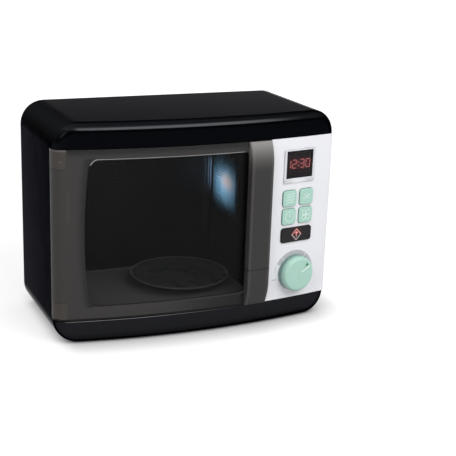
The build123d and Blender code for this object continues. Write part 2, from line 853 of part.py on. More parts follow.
with BuildPart() as control_panel:
    with BuildSketch(Plane.XY.offset(panel_low)) as panel_plan:
        with BuildLine():
            left_out, left_in = bow_angle(panel_left, bow_r), bow_angle(panel_left, bow_r - panel_t)
            front = CenterArc((0, bow_y), bow_r, left_out, panel_tangent - left_out)
            back = CenterArc((0, bow_y), bow_r - panel_t, left_in, panel_tangent - left_in)
            corner = (panel_corner_x, panel_corner_y)
            outer = CenterArc(corner, panel_corner_r, panel_tangent, 360 - panel_tangent)
            inner = CenterArc(corner, panel_corner_r - panel_t, panel_tangent, 360 - panel_tangent)
            Line(front @ 0, back @ 0)
            side_out = Line(outer @ 1, (width / 2, panel_end_y))
            side_in = Line(inner @ 1, (width / 2 - panel_t, panel_end_y))
            Line(side_out @ 1, side_in @ 1)
        make_face()
    extrude(amount=panel_high - panel_low)
    block(
        (panel_left, panel_left + panel_t),
        (front_at(panel_left) + panel_t / 2, front_at(panel_left) + panel_return),
        (panel_low, panel_high),
    )
    extrude(flange_strip(panel_low), amount=panel_t)
    extrude(flange_strip(panel_high - panel_t), amount=panel_t)
    with BuildSketch(control_plane(-panel_t / 2)) as posts:
        with Locations(*post_places):
            Circle(post_r)
    extrude(amount=-(board_set - panel_t / 2))
    with BuildSketch(control_plane(-panel_t / 2)) as click_post_section:
        with Locations(click_post):
            Circle(post_r)
    extrude(amount=-(ratchet_back - panel_t / 2))
    with BuildSketch(control_plane(-board_set)) as post_holes:
        with Locations(*post_places, click_post):
            Circle(screw_r + run)
    extrude(amount=board_set - panel_t, mode=Mode.SUBTRACT)
    with BuildSketch(control_plane()) as windows:
        with Locations(*key_places):
            RectangleRounded(key_size + 2 * fit, key_size + 2 * fit, key_r + fit)
        with Locations((0, start_v)):
            RectangleRounded(start_w + 2 * fit, start_h + 2 * fit, start_r + fit)
        with Locations((0, display_mid)):
            Rectangle(display_w + 2 * bezel_wall + 2 * slip, display_h + 2 * bezel_wall + 2 * slip)
        with Locations((0, knob_v)):
            Circle(knob_stem_r + run)
    extrude(amount=2 * panel_t, both=True, mode=Mode.SUBTRACT)
    with BuildSketch(Plane.XY.offset(panel_low)) as flange_holes:
        with Locations(*shelf_screw_points):
            Circle(screw_r + run)
    extrude(amount=panel_high - panel_low, mode=Mode.SUBTRACT)
save(control_panel.part, "control_panel")

with BuildPart() as panel_screws:
    for low, direction in ((panel_low + panel_t, -1), (panel_high - panel_t, 1)):
        with BuildSketch(Plane.XY.offset(low)) as shanks:
            with Locations(*shelf_screw_points):
                Circle(screw_r)
        extrude(amount=direction * (panel_t + fit + wall + fit))
        with BuildSketch(Plane.XY.offset(low)) as heads:
            with Locations(*shelf_screw_points):
                Circle(screw_head_r)
        extrude(amount=-direction * screw_head_t)
save(panel_screws.part, "panel_screws")

with BuildPart() as display_bezel:
    with BuildSketch(control_plane(slip / 2)) as bezel_face:
        with Locations((0, (bezel_bottom + bezel_top) / 2)):
            RectangleRounded(bezel_w, bezel_top - bezel_bottom, bezel_r)
    extrude(amount=bezel_rise)
    fillet(display_bezel.faces().sort_by(Axis.Y)[0].edges(), bezel_edge)
    with BuildSketch(control_plane(slip / 2)) as bezel_body:
        with Locations((0, display_mid)):
            Rectangle(display_w + 2 * bezel_wall, display_h + 2 * bezel_wall)
    extrude(amount=-panel_t - 2 * slip)
    with BuildSketch(control_plane()) as bezel_opening:
        with Locations((0, display_mid)):
            Rectangle(display_w, display_h)
    extrude(amount=2 * panel_t, both=True, mode=Mode.SUBTRACT)
save(display_bezel.part, "display_bezel")

with BuildPart() as display_window:
    with BuildSketch(control_plane(-display_t / 2)) as display_pane:
        with Locations((0, display_mid)):
            Rectangle(display_w - 2 * slip, display_h - 2 * slip)
    extrude(amount=display_t)
save(display_window.part, "display_window")

digit_face = display_t / 2 + slip + digit_t
with BuildPart() as display_module:
    with BuildSketch(control_plane(-digit_face)) as module_front:
        with Locations((0, display_mid)):
            Rectangle(display_w - 4 * slip, display_h - 4 * slip)
    extrude(amount=-(board_set - digit_face))
save(display_module.part, "display_module")

SEGMENTS = {
    "0": "abcdef",
    "1": "bc",
    "2": "abged",
    "3": "abgcd",
}


def segment_bars(code, middle_u):
    """The lit bars of one digit, each as its middle, width and height on the control plane."""
    reach_u, reach_v = (digit_w - digit_line) / 2, (digit_h - digit_line) / 2
    across, up = digit_w - 2 * digit_line, reach_v - digit_line
    bars = {
        "a": ((0, reach_v), across, digit_line),
        "g": ((0, 0), across, digit_line),
        "d": ((0, -reach_v), across, digit_line),
        "f": ((-reach_u, reach_v / 2), digit_line, up),
        "b": ((reach_u, reach_v / 2), digit_line, up),
        "e": ((-reach_u, -reach_v / 2), digit_line, up),
        "c": ((reach_u, -reach_v / 2), digit_line, up),
    }
    lit = [bars[letter] for letter in code]
    return [((u + middle_u, v + display_mid), bar_w, bar_h) for (u, v), bar_w, bar_h in lit]


digit_step = digit_w + digit_gap
colon_step = digit_gap + digit_line
digit_blank = digit_w - digit_line  # the first digit lights only the right bars of its place
digit_places = [-1.5 * digit_step - colon_step / 2, -0.5 * digit_step - colon_step / 2]
digit_places += [-place for place in reversed(digit_places)]
digits_middle = digits_right - digit_blank / 2

with BuildPart() as display_digits:
    with BuildSketch(control_plane(-digit_face)) as lit:
        for character, place in zip("1230", digit_places):
            for middle, bar_w, bar_h in segment_bars(SEGMENTS[character], place + digits_middle):
                with Locations(middle):
                    Rectangle(bar_w, bar_h)
        with Locations(*[(digits_middle, display_mid + side * colon_gap) for side in column_signs]):
            Circle(colon_r)
    extrude(amount=digit_t)
save(display_digits.part, "display_digits")


# ---------------------------------------------------------------- keys
def wave_line(middle, rise):
    """One wavy line of the heat sign, made of equal arcs that bend up and down by turns."""
    level, bend = middle[1] + rise, wave_span / wave_bends
    with BuildLine() as line:
        for i in range(wave_bends):
            start = middle[0] - wave_span / 2 + i * bend
            swing = wave_swing if i % 2 else -wave_swing
            ThreePointArc((start, level), (start + bend / 2, level + swing), (start + bend, level))
    return line.line


def wave_sign(middle):
    """Wavy lines above each other."""
    with BuildSketch() as drawn:
        for row in range(wave_rows):
            rise = (row - (wave_rows - 1) / 2) * wave_pitch
            trace(wave_line(middle, rise), line_width=relief_line)
    return drawn.sketch


def star_sign(middle):
    """Three bars crossed into a six-pointed star."""
    with BuildSketch() as drawn:
        with Locations(middle):
            for turn in (30, 90, 150):
                Rectangle(star_span, relief_line, rotation=turn)
    return drawn.sketch


def clock_sign(middle):
    """A dial with two hands."""
    u, v = middle
    with BuildSketch() as drawn:
        with Locations(middle):
            Circle(dial_r)
            Circle(dial_r - relief_line, mode=Mode.SUBTRACT)
        with Locations((u, v + hand_long / 2)):
            Rectangle(relief_line, hand_long + relief_line)
        with Locations((u + hand_short / 2, v)):
            Rectangle(hand_short + relief_line, relief_line)
    return drawn.sketch


def fan_sign(middle):
    """Four round blades about a hub."""
    with BuildSketch() as drawn:
        for radius, mode in ((blade_r, Mode.ADD), (blade_r - relief_line, Mode.SUBTRACT)):
            with Locations(middle):
                with PolarLocations(blade_reach, 4, start_angle=45):
                    Circle(radius, mode=mode)
        with Locations(middle):
            Circle(relief_line)
    return drawn.sketch


def key_body(middle, key_w, key_h, radius):
    """A key: a cap that passes through the panel and a flange that keeps it from falling out."""
    with BuildPart() as key:
        with BuildSketch(control_plane(-key_flange_front)) as cap:
            with Locations(middle):
                RectangleRounded(key_w, key_h, radius)
        extrude(amount=key_flange_front + key_top)
        fillet(key.faces().sort_by(control_axis)[-1].edges(), key_edge)
        with BuildSketch(control_plane(-key_flange_back)) as flange:
            with Locations(middle):
                RectangleRounded(key_w + 2 * key_flange, key_h + 2 * key_flange, radius + key_flange)
        extrude(amount=key_flange_t)
    return key.part


control_axis = Axis(control_plane().origin, control_plane().z_dir)
key_names = ("key_heat", "key_defrost", "key_clock", "key_fan")
key_signs = (wave_sign, star_sign, clock_sign, fan_sign)
for name, middle, sign in zip(key_names, key_places, key_signs):
    drawn_sign = sign(middle)
    with BuildPart() as key:
        add(key_body(middle, key_size, key_size, key_r))
        with BuildSketch(control_plane(key_top - relief)) as raised:
            add(drawn_sign)
        extrude(amount=2 * relief)
    save(key.part, name)


def diamond(scale_by):
    """A rhombus on the start key, scaled about its middle."""
    half_w, half_h = symbol_w / 2 * scale_by, symbol_h / 2 * scale_by
    with BuildSketch() as drawn:
        with BuildLine():
            Polyline(
                (-half_w, start_v),
                (0, start_v + half_h),
                (half_w, start_v),
                (0, start_v - half_h),
                close=True,
            )
        make_face()
    return drawn.sketch


def start_sign(grow):
    """The start key's sign: a rhombus with an arrow that points up, its lines widened by grow."""
    with BuildSketch() as drawn:
        add(diamond(1 + 2 * grow / symbol_w))
        add(diamond(1 - 3 * (symbol_line + grow) / symbol_w), mode=Mode.SUBTRACT)
        with Locations((0, start_v)):
            Rectangle(symbol_line + 2 * grow, arrow_len + 2 * grow)
        with Locations((0, start_v + arrow_rise)):
            Triangle(a=arrow_w + 2 * grow, B=45, C=45)
    return drawn.sketch


with BuildPart() as start_key:
    add(key_body((0, start_v), start_w, start_h, start_r))
    with BuildSketch(control_plane(key_top - symbol_depth)) as sign_seat:
        add(start_sign(slip / 2))
    extrude(amount=2 * symbol_depth, mode=Mode.SUBTRACT)
save(start_key.part, "start_key")

with BuildPart() as start_symbol:
    with BuildSketch(control_plane(key_top - symbol_depth)) as sign_face:
        add(start_sign(0))
    extrude(amount=symbol_depth)
save(start_symbol.part, "start_symbol")

start_dome_places = [(side * start_w / 4, start_v) for side in column_signs]
keypad_high = keys_v + (key_pitch_v + key_size) / 2
keypad_low = start_v - start_h / 2
with BuildPart() as rubber_keypad:
    with BuildSketch(control_plane(-board_set)) as sheet:
        with Locations((0, (keypad_low + keypad_high) / 2)):
            Rectangle(keypad_w, keypad_high - keypad_low)
    extrude(amount=keypad_t)
    for places, travel in ((key_places, key_travel), (start_dome_places, start_travel)):
        with BuildSketch(control_plane(-board_set)) as domes:
            with Locations(*places):
                Circle(dome_r)
        extrude(amount=board_set - key_flange_back - travel - fit, taper=dome_slope)
save(rubber_keypad.part, "rubber_keypad")

board_mid = (board_bottom + board_top) / 2
chip_places = [(-8.0, board_mid + 6.3), (12.0, board_mid - 23.7)]
small_chip_place = (12.0, board_mid + 40.3)
with BuildPart() as circuit_board:
    with BuildSketch(control_plane(-board_set)) as board:
        with Locations((0, board_mid)):
            RectangleRounded(board_w, board_top - board_bottom, board_corner_r)
        with Locations(*post_places):
            Circle(screw_r + slip, mode=Mode.SUBTRACT)
    extrude(amount=-board_t)
    with BuildSketch(control_plane(-board_set - board_t)) as chips:
        with Locations(*chip_places):
            Rectangle(chip_w, chip_h)
        with Locations(small_chip_place):
            Rectangle(small_chip_w, small_chip_h)
    extrude(amount=-chip_t)
save(circuit_board.part, "circuit_board")

with BuildPart() as board_screws:
    with BuildSketch(control_plane(-board_set - board_t)) as heads:
        with Locations(*post_places):
            Circle(screw_head_r)
    extrude(amount=-screw_head_t)
    with BuildSketch(control_plane(-board_set - board_t)) as shanks:
        with Locations(*post_places):
            Circle(screw_r)
    extrude(amount=board_t + post_r)
    with BuildSketch(control_plane(-ratchet_back - click_t)) as click_head:
        with Locations(click_post):
            Circle(screw_head_r)
    extrude(amount=-screw_head_t)
    with BuildSketch(control_plane(-ratchet_back - click_t)) as click_shank:
        with Locations(click_post):
            Circle(screw_r)
    extrude(amount=click_t + post_r)
save(board_screws.part, "board_screws")

# ---------------------------------------------------------------- knob
knob_back = ring_t + slip
pointer_end = knob_front_r - knob_round


def pointer_outline(grow):
    """The pointer on the knob's face: a wedge that widens outwards, at its turned place."""
    corners = ((pointer_end - pointer_len, 0), (pointer_end, -pointer_w / 2), (pointer_end, pointer_w / 2))
    with BuildSketch() as drawn:
        with Locations(Location((0, 0, 0), (0, 0, knob_turn))):
            Polygon(*corners, align=None)
        fillet(drawn.vertices(), pointer_r)
        if grow:
            offset(amount=grow)
    return drawn.sketch


with BuildPart() as knob:
    with BuildSketch(knob_plane(knob_back)) as knob_base:
        Circle(knob_r)
    lean = degrees(atan2(knob_r - knob_front_r, knob_rise - knob_back))
    extrude(amount=knob_rise - knob_back, taper=lean)
    fillet(knob.faces().sort_by(control_axis)[-1].edges(), knob_round)
    with BuildSketch(knob_plane(knob_back)) as knob_room:
        Circle(knob_front_r - knob_wall)
    extrude(amount=knob_rise - knob_back - knob_wall, mode=Mode.SUBTRACT)
    with BuildSketch(knob_plane(knob_rise - knob_wall)) as stem:
        Circle(knob_stem_r)
    extrude(amount=-(knob_rise - knob_wall + ratchet_back + slip))
    with BuildSketch(knob_plane(-ratchet_back - slip)) as stem_hole:
        Circle(screw_r + run)
    extrude(amount=ratchet_back, mode=Mode.SUBTRACT)
    with BuildSketch(knob_plane(knob_rise - symbol_depth)) as pointer_seat:
        add(pointer_outline(slip / 2))
    extrude(amount=symbol_depth, mode=Mode.SUBTRACT)
save(knob.part, "knob")

with BuildPart() as knob_pointer:
    with BuildSketch(knob_plane(knob_rise - symbol_depth)) as pointer_face:
        add(pointer_outline(0))
    extrude(amount=symbol_depth + slip)
save(knob_pointer.part, "knob_pointer")

with BuildPart() as knob_scale:
    with BuildSketch(knob_plane(-knob_rise)) as scale_section:
        with BuildLine():
            inner = CenterArc((0, 0), ring_inner_r, ring_start, ring_end - ring_start)
            outer = CenterArc((0, 0), ring_r, ring_start, ring_end - ring_start)
            Line(inner @ 0, outer @ 0)
            Line(inner @ 1, outer @ 1)
        make_face()
        for turn in ring_marks:
            with Locations(Location((0, 0, 0), (0, 0, turn))):
                with Locations(((ring_inner_r + ring_r) / 2, 0)):
                    Rectangle(2 * (ring_r - ring_inner_r), tick_w, mode=Mode.SUBTRACT)
    extrude(amount=2 * knob_rise)
    extrude(behind_front(-slip / 2), amount=height, mode=Mode.SUBTRACT)
    extrude(behind_front(-slip / 2 - ring_t), amount=height, mode=Mode.INTERSECT)
save(knob_scale.part, "knob_scale")

with BuildPart() as ratchet_wheel:
    with BuildSketch(knob_plane(-ratchet_back)) as wheel:
        with BuildLine():
            step = 2 * pi / ratchet_teeth
            corners = []
            for tooth in range(ratchet_teeth):
                for share, radius in ((0, ratchet_r), (0.5, ratchet_r - ratchet_tooth)):
                    turn = (tooth + share) * step
                    corners.append((radius * cos(turn), radius * sin(turn)))
            Polyline(*corners, close=True)
        make_face()
        Circle(knob_stem_r + slip / 2, mode=Mode.SUBTRACT)
    extrude(amount=ratchet_t)
save(ratchet_wheel.part, "ratchet_wheel")

with BuildPart() as knob_screw:
    with BuildSketch(knob_plane(-ratchet_back - slip)) as head:
        Circle(knob_screw_head_r)
    extrude(amount=-screw_head_t)
    with BuildSketch(knob_plane(-ratchet_back - slip)) as shank:
        Circle(screw_r)
    extrude(amount=ratchet_back - panel_t)
save(knob_screw.part, "knob_screw")

# The click spring: an eye on its post, and a blade whose nib stands just clear of the teeth.
with BuildPart() as click_spring:
    blade_u = ratchet_r + click_gap + click_nib
    with BuildSketch(control_plane(-ratchet_back)) as eye:
        with Locations(click_post):
            Circle(post_r)
        with Locations(((blade_u + click_post[0]) / 2, click_post[1])):
            Rectangle(click_post[0] - blade_u, post_r)
        with Locations(click_post):
            Circle(screw_r + slip, mode=Mode.SUBTRACT)
    extrude(amount=-click_t)
    with BuildSketch(control_plane(-ratchet_back - click_t)) as blade:
        with Locations((blade_u, click_post[1] - post_r / 2)):
            Rectangle(click_t, knob_v - click_post[1] + 2 * post_r, align=Align.MIN)
    extrude(amount=ratchet_t)
    with BuildSketch(control_plane(-ratchet_back)) as nib:
        with Locations((blade_u - click_nib / 2, knob_v)):
            Rectangle(click_nib, click_t)
    extrude(amount=ratchet_t - click_t)
save(click_spring.part, "click_spring")

# ---------------------------------------------------------------- cavity lamp
reflector_x = lens_seat_x + lens_t

with BuildPart() as lamp_reflector:
    extrude(lens_outline(lens_lap, lens_plane(reflector_x)), amount=-reflector_deep)
    reflector_room = lens_outline(lens_lap - reflector_t, lens_plane(reflector_x))
    extrude(reflector_room, amount=reflector_t - reflector_deep, mode=Mode.SUBTRACT)
    with BuildSketch(lens_plane(reflector_x)) as led_hole:
        with Locations((lamp_forward, lamp_up)):
            Circle(led_r + slip)
    extrude(amount=-reflector_deep, mode=Mode.SUBTRACT)
save(lamp_reflector.part, "lamp_reflector")

with BuildPart() as lamp_board:
    with BuildSketch(lens_plane(reflector_x + reflector_deep)) as lamp_card:
        with Locations((lamp_forward, lamp_up)):
            RectangleRounded(lamp_board_w, lamp_board_h, board_corner_r)
    extrude(amount=-lamp_board_t)
save(lamp_board.part, "lamp_board")

with BuildPart() as lamp_led:
    with BuildSketch(lens_plane(reflector_x + reflector_deep)) as led_section:
        with Locations((lamp_forward, lamp_up)):
            Circle(led_r)
    extrude(amount=led_len)
    fillet(lamp_led.faces().sort_by(Axis.X)[0].edges(), led_round)
save(lamp_led.part, "lamp_led")

# ---------------------------------------------------------------- rear cover
rear_plane = Plane(origin=(0, back_y, 0), x_dir=(-1, 0, 0), z_dir=(0, 1, 0))
rear_screw_points = [(-x, z) for x, z in cover_screw_points]
box_floor_y = cover_y - box_deep
box_low, box_high = box_z - box_h / 2, box_z + box_h / 2
cell_places = [box_low + cell_r + fit + row * cell_pitch for row in range(cell_count)]
cell_y = box_floor_y + cell_r + fit
box_screw_z = box_high - box_screw_in
sink_depth = (cover_screw_head_r - cover_screw_r) / tan(radians(sink_angle / 2))


def across(y):
    """Plane across the depth at y, with +X to the right and its own +Y up, facing the front."""
    return Plane.XZ.offset(-y)


def sunk_screw(length):
    """A countersunk screw whose head's face is at the place in hand, pointing the other way."""
    top = (Align.CENTER, Align.CENTER, Align.MAX)
    Cone(cover_screw_r, cover_screw_head_r, sink_depth, align=top)
    Cylinder(cover_screw_r, length, align=top)


with BuildPart() as rear_cover:
    extrude(outline(cover_inset + fit, back_y), amount=cover_t)
    with BuildSketch(across(back_y)) as openings:
        with Locations((vent_x, vent_z)):
            with GridLocations(0, vent_pitch, 1, vent_count):
                SlotOverall(vent_w, vent_h)
        with Locations((column_x, speaker_z)):
            with GridLocations(0, grille_pitch, 1, grille_count):
                SlotOverall(grille_w, grille_h)
        with Locations((box_x, box_z)):
            Rectangle(box_w, box_h)
        with Locations((column_x + switch_travel / 2, switch_z)):
            Rectangle(nub_w + switch_travel + 2 * fit, nub_h + 2 * fit)
    extrude(amount=cover_t, mode=Mode.SUBTRACT)
    with BuildSketch(across(cover_y)) as speaker_seat:
        with Locations((column_x, speaker_z)):
            Circle(speaker_r + fit + box_wall)
            Circle(speaker_r + fit, mode=Mode.SUBTRACT)
    extrude(amount=speaker_rim_t)
    with Locations(rear_plane):
        with Locations(*rear_screw_points):
            CounterSinkHole(cover_screw_r + run, cover_screw_head_r + run, 2 * cover_t)
save(rear_cover.part, "rear_cover")

with BuildPart() as cover_screws:
    with Locations(rear_plane):
        with Locations(*rear_screw_points):
            sunk_screw(cover_screw_len)
save(cover_screws.part, "cover_screws")

with BuildPart() as battery_box:
    block(
        (box_x - box_w / 2 - box_wall, box_x + box_w / 2 + box_wall),
        (box_floor_y - box_wall, cover_y),
        (box_low - box_wall, box_high + box_wall),
    )
    block(
        (box_x - box_w / 2, box_x + box_w / 2),
        (box_floor_y, cover_y + 1),
        (box_low, box_high),
        mode=Mode.SUBTRACT,
    )
    with BuildSketch(across(cover_y)) as cover_post:
        with Locations((box_x, box_screw_z)):
            Circle(box_post_r)
            Rectangle(2 * box_post_r, box_screw_in, align=(Align.CENTER, Align.MIN))
    extrude(amount=box_deep)
    with BuildSketch(across(cover_y)) as cover_post_hole:
        with Locations((box_x, box_screw_z)):
            Circle(cover_screw_r + run)
    extrude(amount=cover_screw_len, mode=Mode.SUBTRACT)
save(battery_box.part, "battery_box")

with BuildPart() as battery_cover:
    block(
        (box_x - box_w / 2 + fit, box_x + box_w / 2 - fit),
        (cover_y, back_y),
        (box_low + fit, box_high - fit),
    )
    with Locations(rear_plane):
        with Locations((-box_x, box_screw_z)):
            CounterSinkHole(cover_screw_r + run, cover_screw_head_r + run, 2 * cover_t)
    with BuildSketch(across(back_y)) as grip_grooves:
        with Locations((box_x, box_low + 3 * grip_pitch)):
            with GridLocations(0, grip_pitch, 1, grip_count):
                SlotOverall(grip_w, grip_pitch / 2)
    extrude(amount=grip_depth, mode=Mode.SUBTRACT)
save(battery_cover.part, "battery_cover")

with BuildPart() as battery_cover_screw:
    with Locations(rear_plane):
        with Locations((-box_x, box_screw_z)):
            sunk_screw(cover_screw_len)
save(battery_cover_screw.part, "battery_cover_screw")

contact_room = (box_w - cell_len - cell_nub) / 2
with BuildPart() as batteries:
    for row, z in enumerate(cell_places):
        facing = 1 if row % 2 == 0 else -1
        start = box_x - facing * (box_w / 2 - contact_room)
        with BuildSketch(Plane(origin=(start, cell_y, z), z_dir=(facing, 0, 0))) as can:
            Circle(cell_r)
        extrude(amount=cell_len)
        with BuildSketch(Plane(origin=(start, cell_y, z), z_dir=(facing, 0, 0))) as cap:
            Circle(cell_nub_r)
        extrude(amount=cell_len + cell_nub)
save(batteries.part, "batteries")

with BuildPart() as battery_contacts:
    for z in cell_places:
        for side in column_signs:
            wall_x = box_x + side * box_w / 2
            with BuildSketch(Plane(origin=(wall_x, cell_y, z), z_dir=(-side, 0, 0))) as tab:
                Rectangle(contact_size, contact_size)
            extrude(amount=contact_t)
            with BuildSketch(Plane(origin=(wall_x, cell_y, z), z_dir=(-side, 0, 0))) as coil:
                Circle(cell_nub_r)
                Circle(cell_nub_r - contact_t * 2, mode=Mode.SUBTRACT)
            extrude(amount=contact_room - slip)
save(battery_contacts.part, "battery_contacts")

with BuildPart() as speaker:
    with BuildSketch(across(cover_y)) as basket:
        with Locations((column_x, speaker_z)):
            Circle(speaker_r)
    extrude(amount=speaker_rim_t)
    with BuildSketch(across(cover_y)) as dish:
        with Locations((column_x, speaker_z)):
            Circle(speaker_r - box_wall)
    extrude(amount=speaker_rim_t / 2, mode=Mode.SUBTRACT)
    with BuildSketch(across(cover_y - speaker_rim_t / 2)) as cone_cap:
        with Locations((column_x, speaker_z)):
            Circle(speaker_cap_r)
    extrude(amount=-speaker_cap_t)
    with BuildSketch(across(cover_y - speaker_rim_t)) as magnet:
        with Locations((column_x, speaker_z)):
            Circle(magnet_r)
    extrude(amount=magnet_t)
save(speaker.part, "speaker")

slide_mid_x = column_x + switch_travel / 2
slide_room = slider_t + 2 * fit
with BuildPart() as power_switch:
    block(
        (slide_mid_x - switch_w / 2, slide_mid_x + switch_w / 2),
        (cover_y - switch_t, cover_y),
        (switch_z - switch_h / 2, switch_z + switch_h / 2),
    )
    block(
        (column_x - slider_w / 2 - fit, column_x + slider_w / 2 + switch_travel + fit),
        (cover_y - slide_room, cover_y + 1),
        (switch_z - slider_h / 2 - fit, switch_z + slider_h / 2 + fit),
        mode=Mode.SUBTRACT,
    )
save(power_switch.part, "power_switch")

with BuildPart() as switch_slider:
    block(
        (column_x - slider_w / 2, column_x + slider_w / 2),
        (cover_y - fit - slider_t, cover_y - fit),
        (switch_z - slider_h / 2, switch_z + slider_h / 2),
    )
    block(
        (column_x - nub_w / 2, column_x + nub_w / 2),
        (cover_y - fit - slider_t, back_y - fit),
        (switch_z - nub_h / 2, switch_z + nub_h / 2),
    )
save(switch_slider.part, "switch_slider")

# ---------------------------------------------------------------- wiring
# Leads run from the battery box, switch, lamp and speaker to the back of the circuit board.
lead_ends = {
    "supply": (-13.0, board_bottom + 21.0),
    "switch": (10.0, board_bottom + 45.0),
    "lamp": (-5.0, board_bottom + 75.0),
    "speaker": (4.0, board_bottom + 83.0),
}


def on_board(name):
    """The place where a lead ends, just clear of the back of the circuit board."""
    u, v = lead_ends[name]
    return tuple(control_plane(-board_set - board_t - fit).from_local_coords(Vector(u, v, 0)))


def lead(points):
    """A round lead: straight runs joined by arcs as large as the runs allow."""
    corners = [Vector(*point) for point in points]
    runs = [after - before for before, after in zip(corners, corners[1:])]
    turns = [radians(before.get_angle(after)) for before, after in zip(runs, runs[1:])]
    lengths = [min(before.length, after.length) for before, after in zip(runs, runs[1:])]
    radii = [0.45 * length / tan(turn / 2) for length, turn in zip(lengths, turns)]
    with BuildPart() as tube:
        with BuildLine() as route:
            FilletPolyline(*corners, radius=radii)
        with BuildSketch(Plane(origin=corners[0], z_dir=runs[0])) as section:
            Circle(wire_r)
        sweep()
    return tube.part


supply_y = box_floor_y - box_wall - slip
switch_y = cover_y - switch_t - slip
speaker_y = cover_y - speaker_rim_t - slip
lamp_x = reflector_x + reflector_deep + lamp_board_t + slip
supply_lead = [
    (box_x - 8, supply_y, box_z + 8),
    (box_x - 8, supply_y - 20, box_z + 8),
    (box_x - 10, supply_y - 49, box_z + 22),
    (box_x - 9, supply_y - 81, box_z + 36),
    on_board("supply"),
]
switch_lead = [
    (column_x + 4, switch_y, switch_z + 2),
    (column_x + 4, switch_y - 18, switch_z + 2),
    (column_x + 9, switch_y - 50, switch_z + 9),
    (column_x + 11, switch_y - 88, switch_z + 17),
    on_board("switch"),
]
lamp_lead = [
    (lamp_x, lamp_y, lamp_z + 4),
    (lamp_x + 11, lamp_y, lamp_z + 4),
    (lamp_x + 21, lamp_y - 17, lamp_z + 7),
    (lamp_x + 25, lamp_y - 38, lamp_z + 13),
    on_board("lamp"),
]
speaker_lead = [
    (column_x, speaker_y, speaker_z + 15),
    (column_x, speaker_y - 20, speaker_z + 15),
    (column_x + 5, speaker_y - 52, speaker_z + 11),
    (column_x + 4, speaker_y - 92, speaker_z + 8),
    on_board("speaker"),
]
with BuildPart() as wiring:
    for points in (supply_lead, switch_lead, lamp_lead, speaker_lead):
        add(lead(points))
save(wiring.part, "wiring")
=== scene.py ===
"""Toy microwave oven: materials, fine pieces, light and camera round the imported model.

Everything is in metres in the part's own frame: +X to the right, +Y to the back, +Z up.
"""

from math import asin, cos, pi, radians, sin, sqrt

import bmesh
import bpy
from mathutils import Matrix, Vector


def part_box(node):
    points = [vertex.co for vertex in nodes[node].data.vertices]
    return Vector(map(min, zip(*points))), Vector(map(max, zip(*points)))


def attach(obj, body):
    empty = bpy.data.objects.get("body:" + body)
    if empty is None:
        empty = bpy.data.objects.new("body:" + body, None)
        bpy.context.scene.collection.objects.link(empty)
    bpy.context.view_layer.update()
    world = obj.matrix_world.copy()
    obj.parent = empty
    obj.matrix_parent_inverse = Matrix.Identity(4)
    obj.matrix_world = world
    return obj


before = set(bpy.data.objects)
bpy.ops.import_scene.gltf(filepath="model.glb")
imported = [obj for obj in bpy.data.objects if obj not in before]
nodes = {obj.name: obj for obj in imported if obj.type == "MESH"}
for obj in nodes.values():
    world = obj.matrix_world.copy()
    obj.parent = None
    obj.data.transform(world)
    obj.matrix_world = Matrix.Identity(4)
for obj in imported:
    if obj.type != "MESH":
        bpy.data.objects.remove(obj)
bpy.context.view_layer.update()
mm = 0.001
euler = 2.718  # base of the bells that fade a glow

# ---------------------------------------------------------------- sizes repeated from the part
width, height, depth, bow = 0.300, 0.222, 0.147, 0.016
bow_r = ((width / 2) ** 2 + bow**2) / (2 * bow)
bow_y = bow_r - depth / 2
door_low = 25.1 * mm
window_left, window_right = -116 * mm, 49 * mm
window_low, window_top = 39 * mm, 187.5 * mm
window_bulge, window_r = 5 * mm, 9 * mm
hinge_middle = height / 2
column_x = 106.8 * mm
column_turn = asin(column_x / bow_r)
panel_out = Vector((sin(column_turn), -cos(column_turn), 0))
panel_right = Vector((cos(column_turn), sin(column_turn), 0))
panel_origin = Vector((column_x, bow_y - sqrt(bow_r**2 - column_x**2), 0))
pointer_turn = radians(41)
pointer_long, pointer_half = 13.5 * mm, 3.0 * mm
sign_half_w = 6.3 * mm
lens_pocket = (33.0 * mm, 125.5 * mm)

up = Vector((0, 0, 1))
right = Vector((1, 0, 0))
back = Vector((0, 1, 0))


def front_point(x, z, set_back):
    """A point of a surface that lies a depth behind the bowed front."""
    radius = bow_r - set_back
    return Vector((x, bow_y - sqrt(radius**2 - x**2), z))


# ---------------------------------------------------------------- places read from the frame
def reach(name, direction):
    """How far a node reaches along a direction from the origin."""
    return max(direction.dot(vertex.co) for vertex in nodes[name].data.vertices)


def middle(name):
    """The middle of a node's box."""
    low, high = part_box(name)
    return (Vector(low) + Vector(high)) / 2


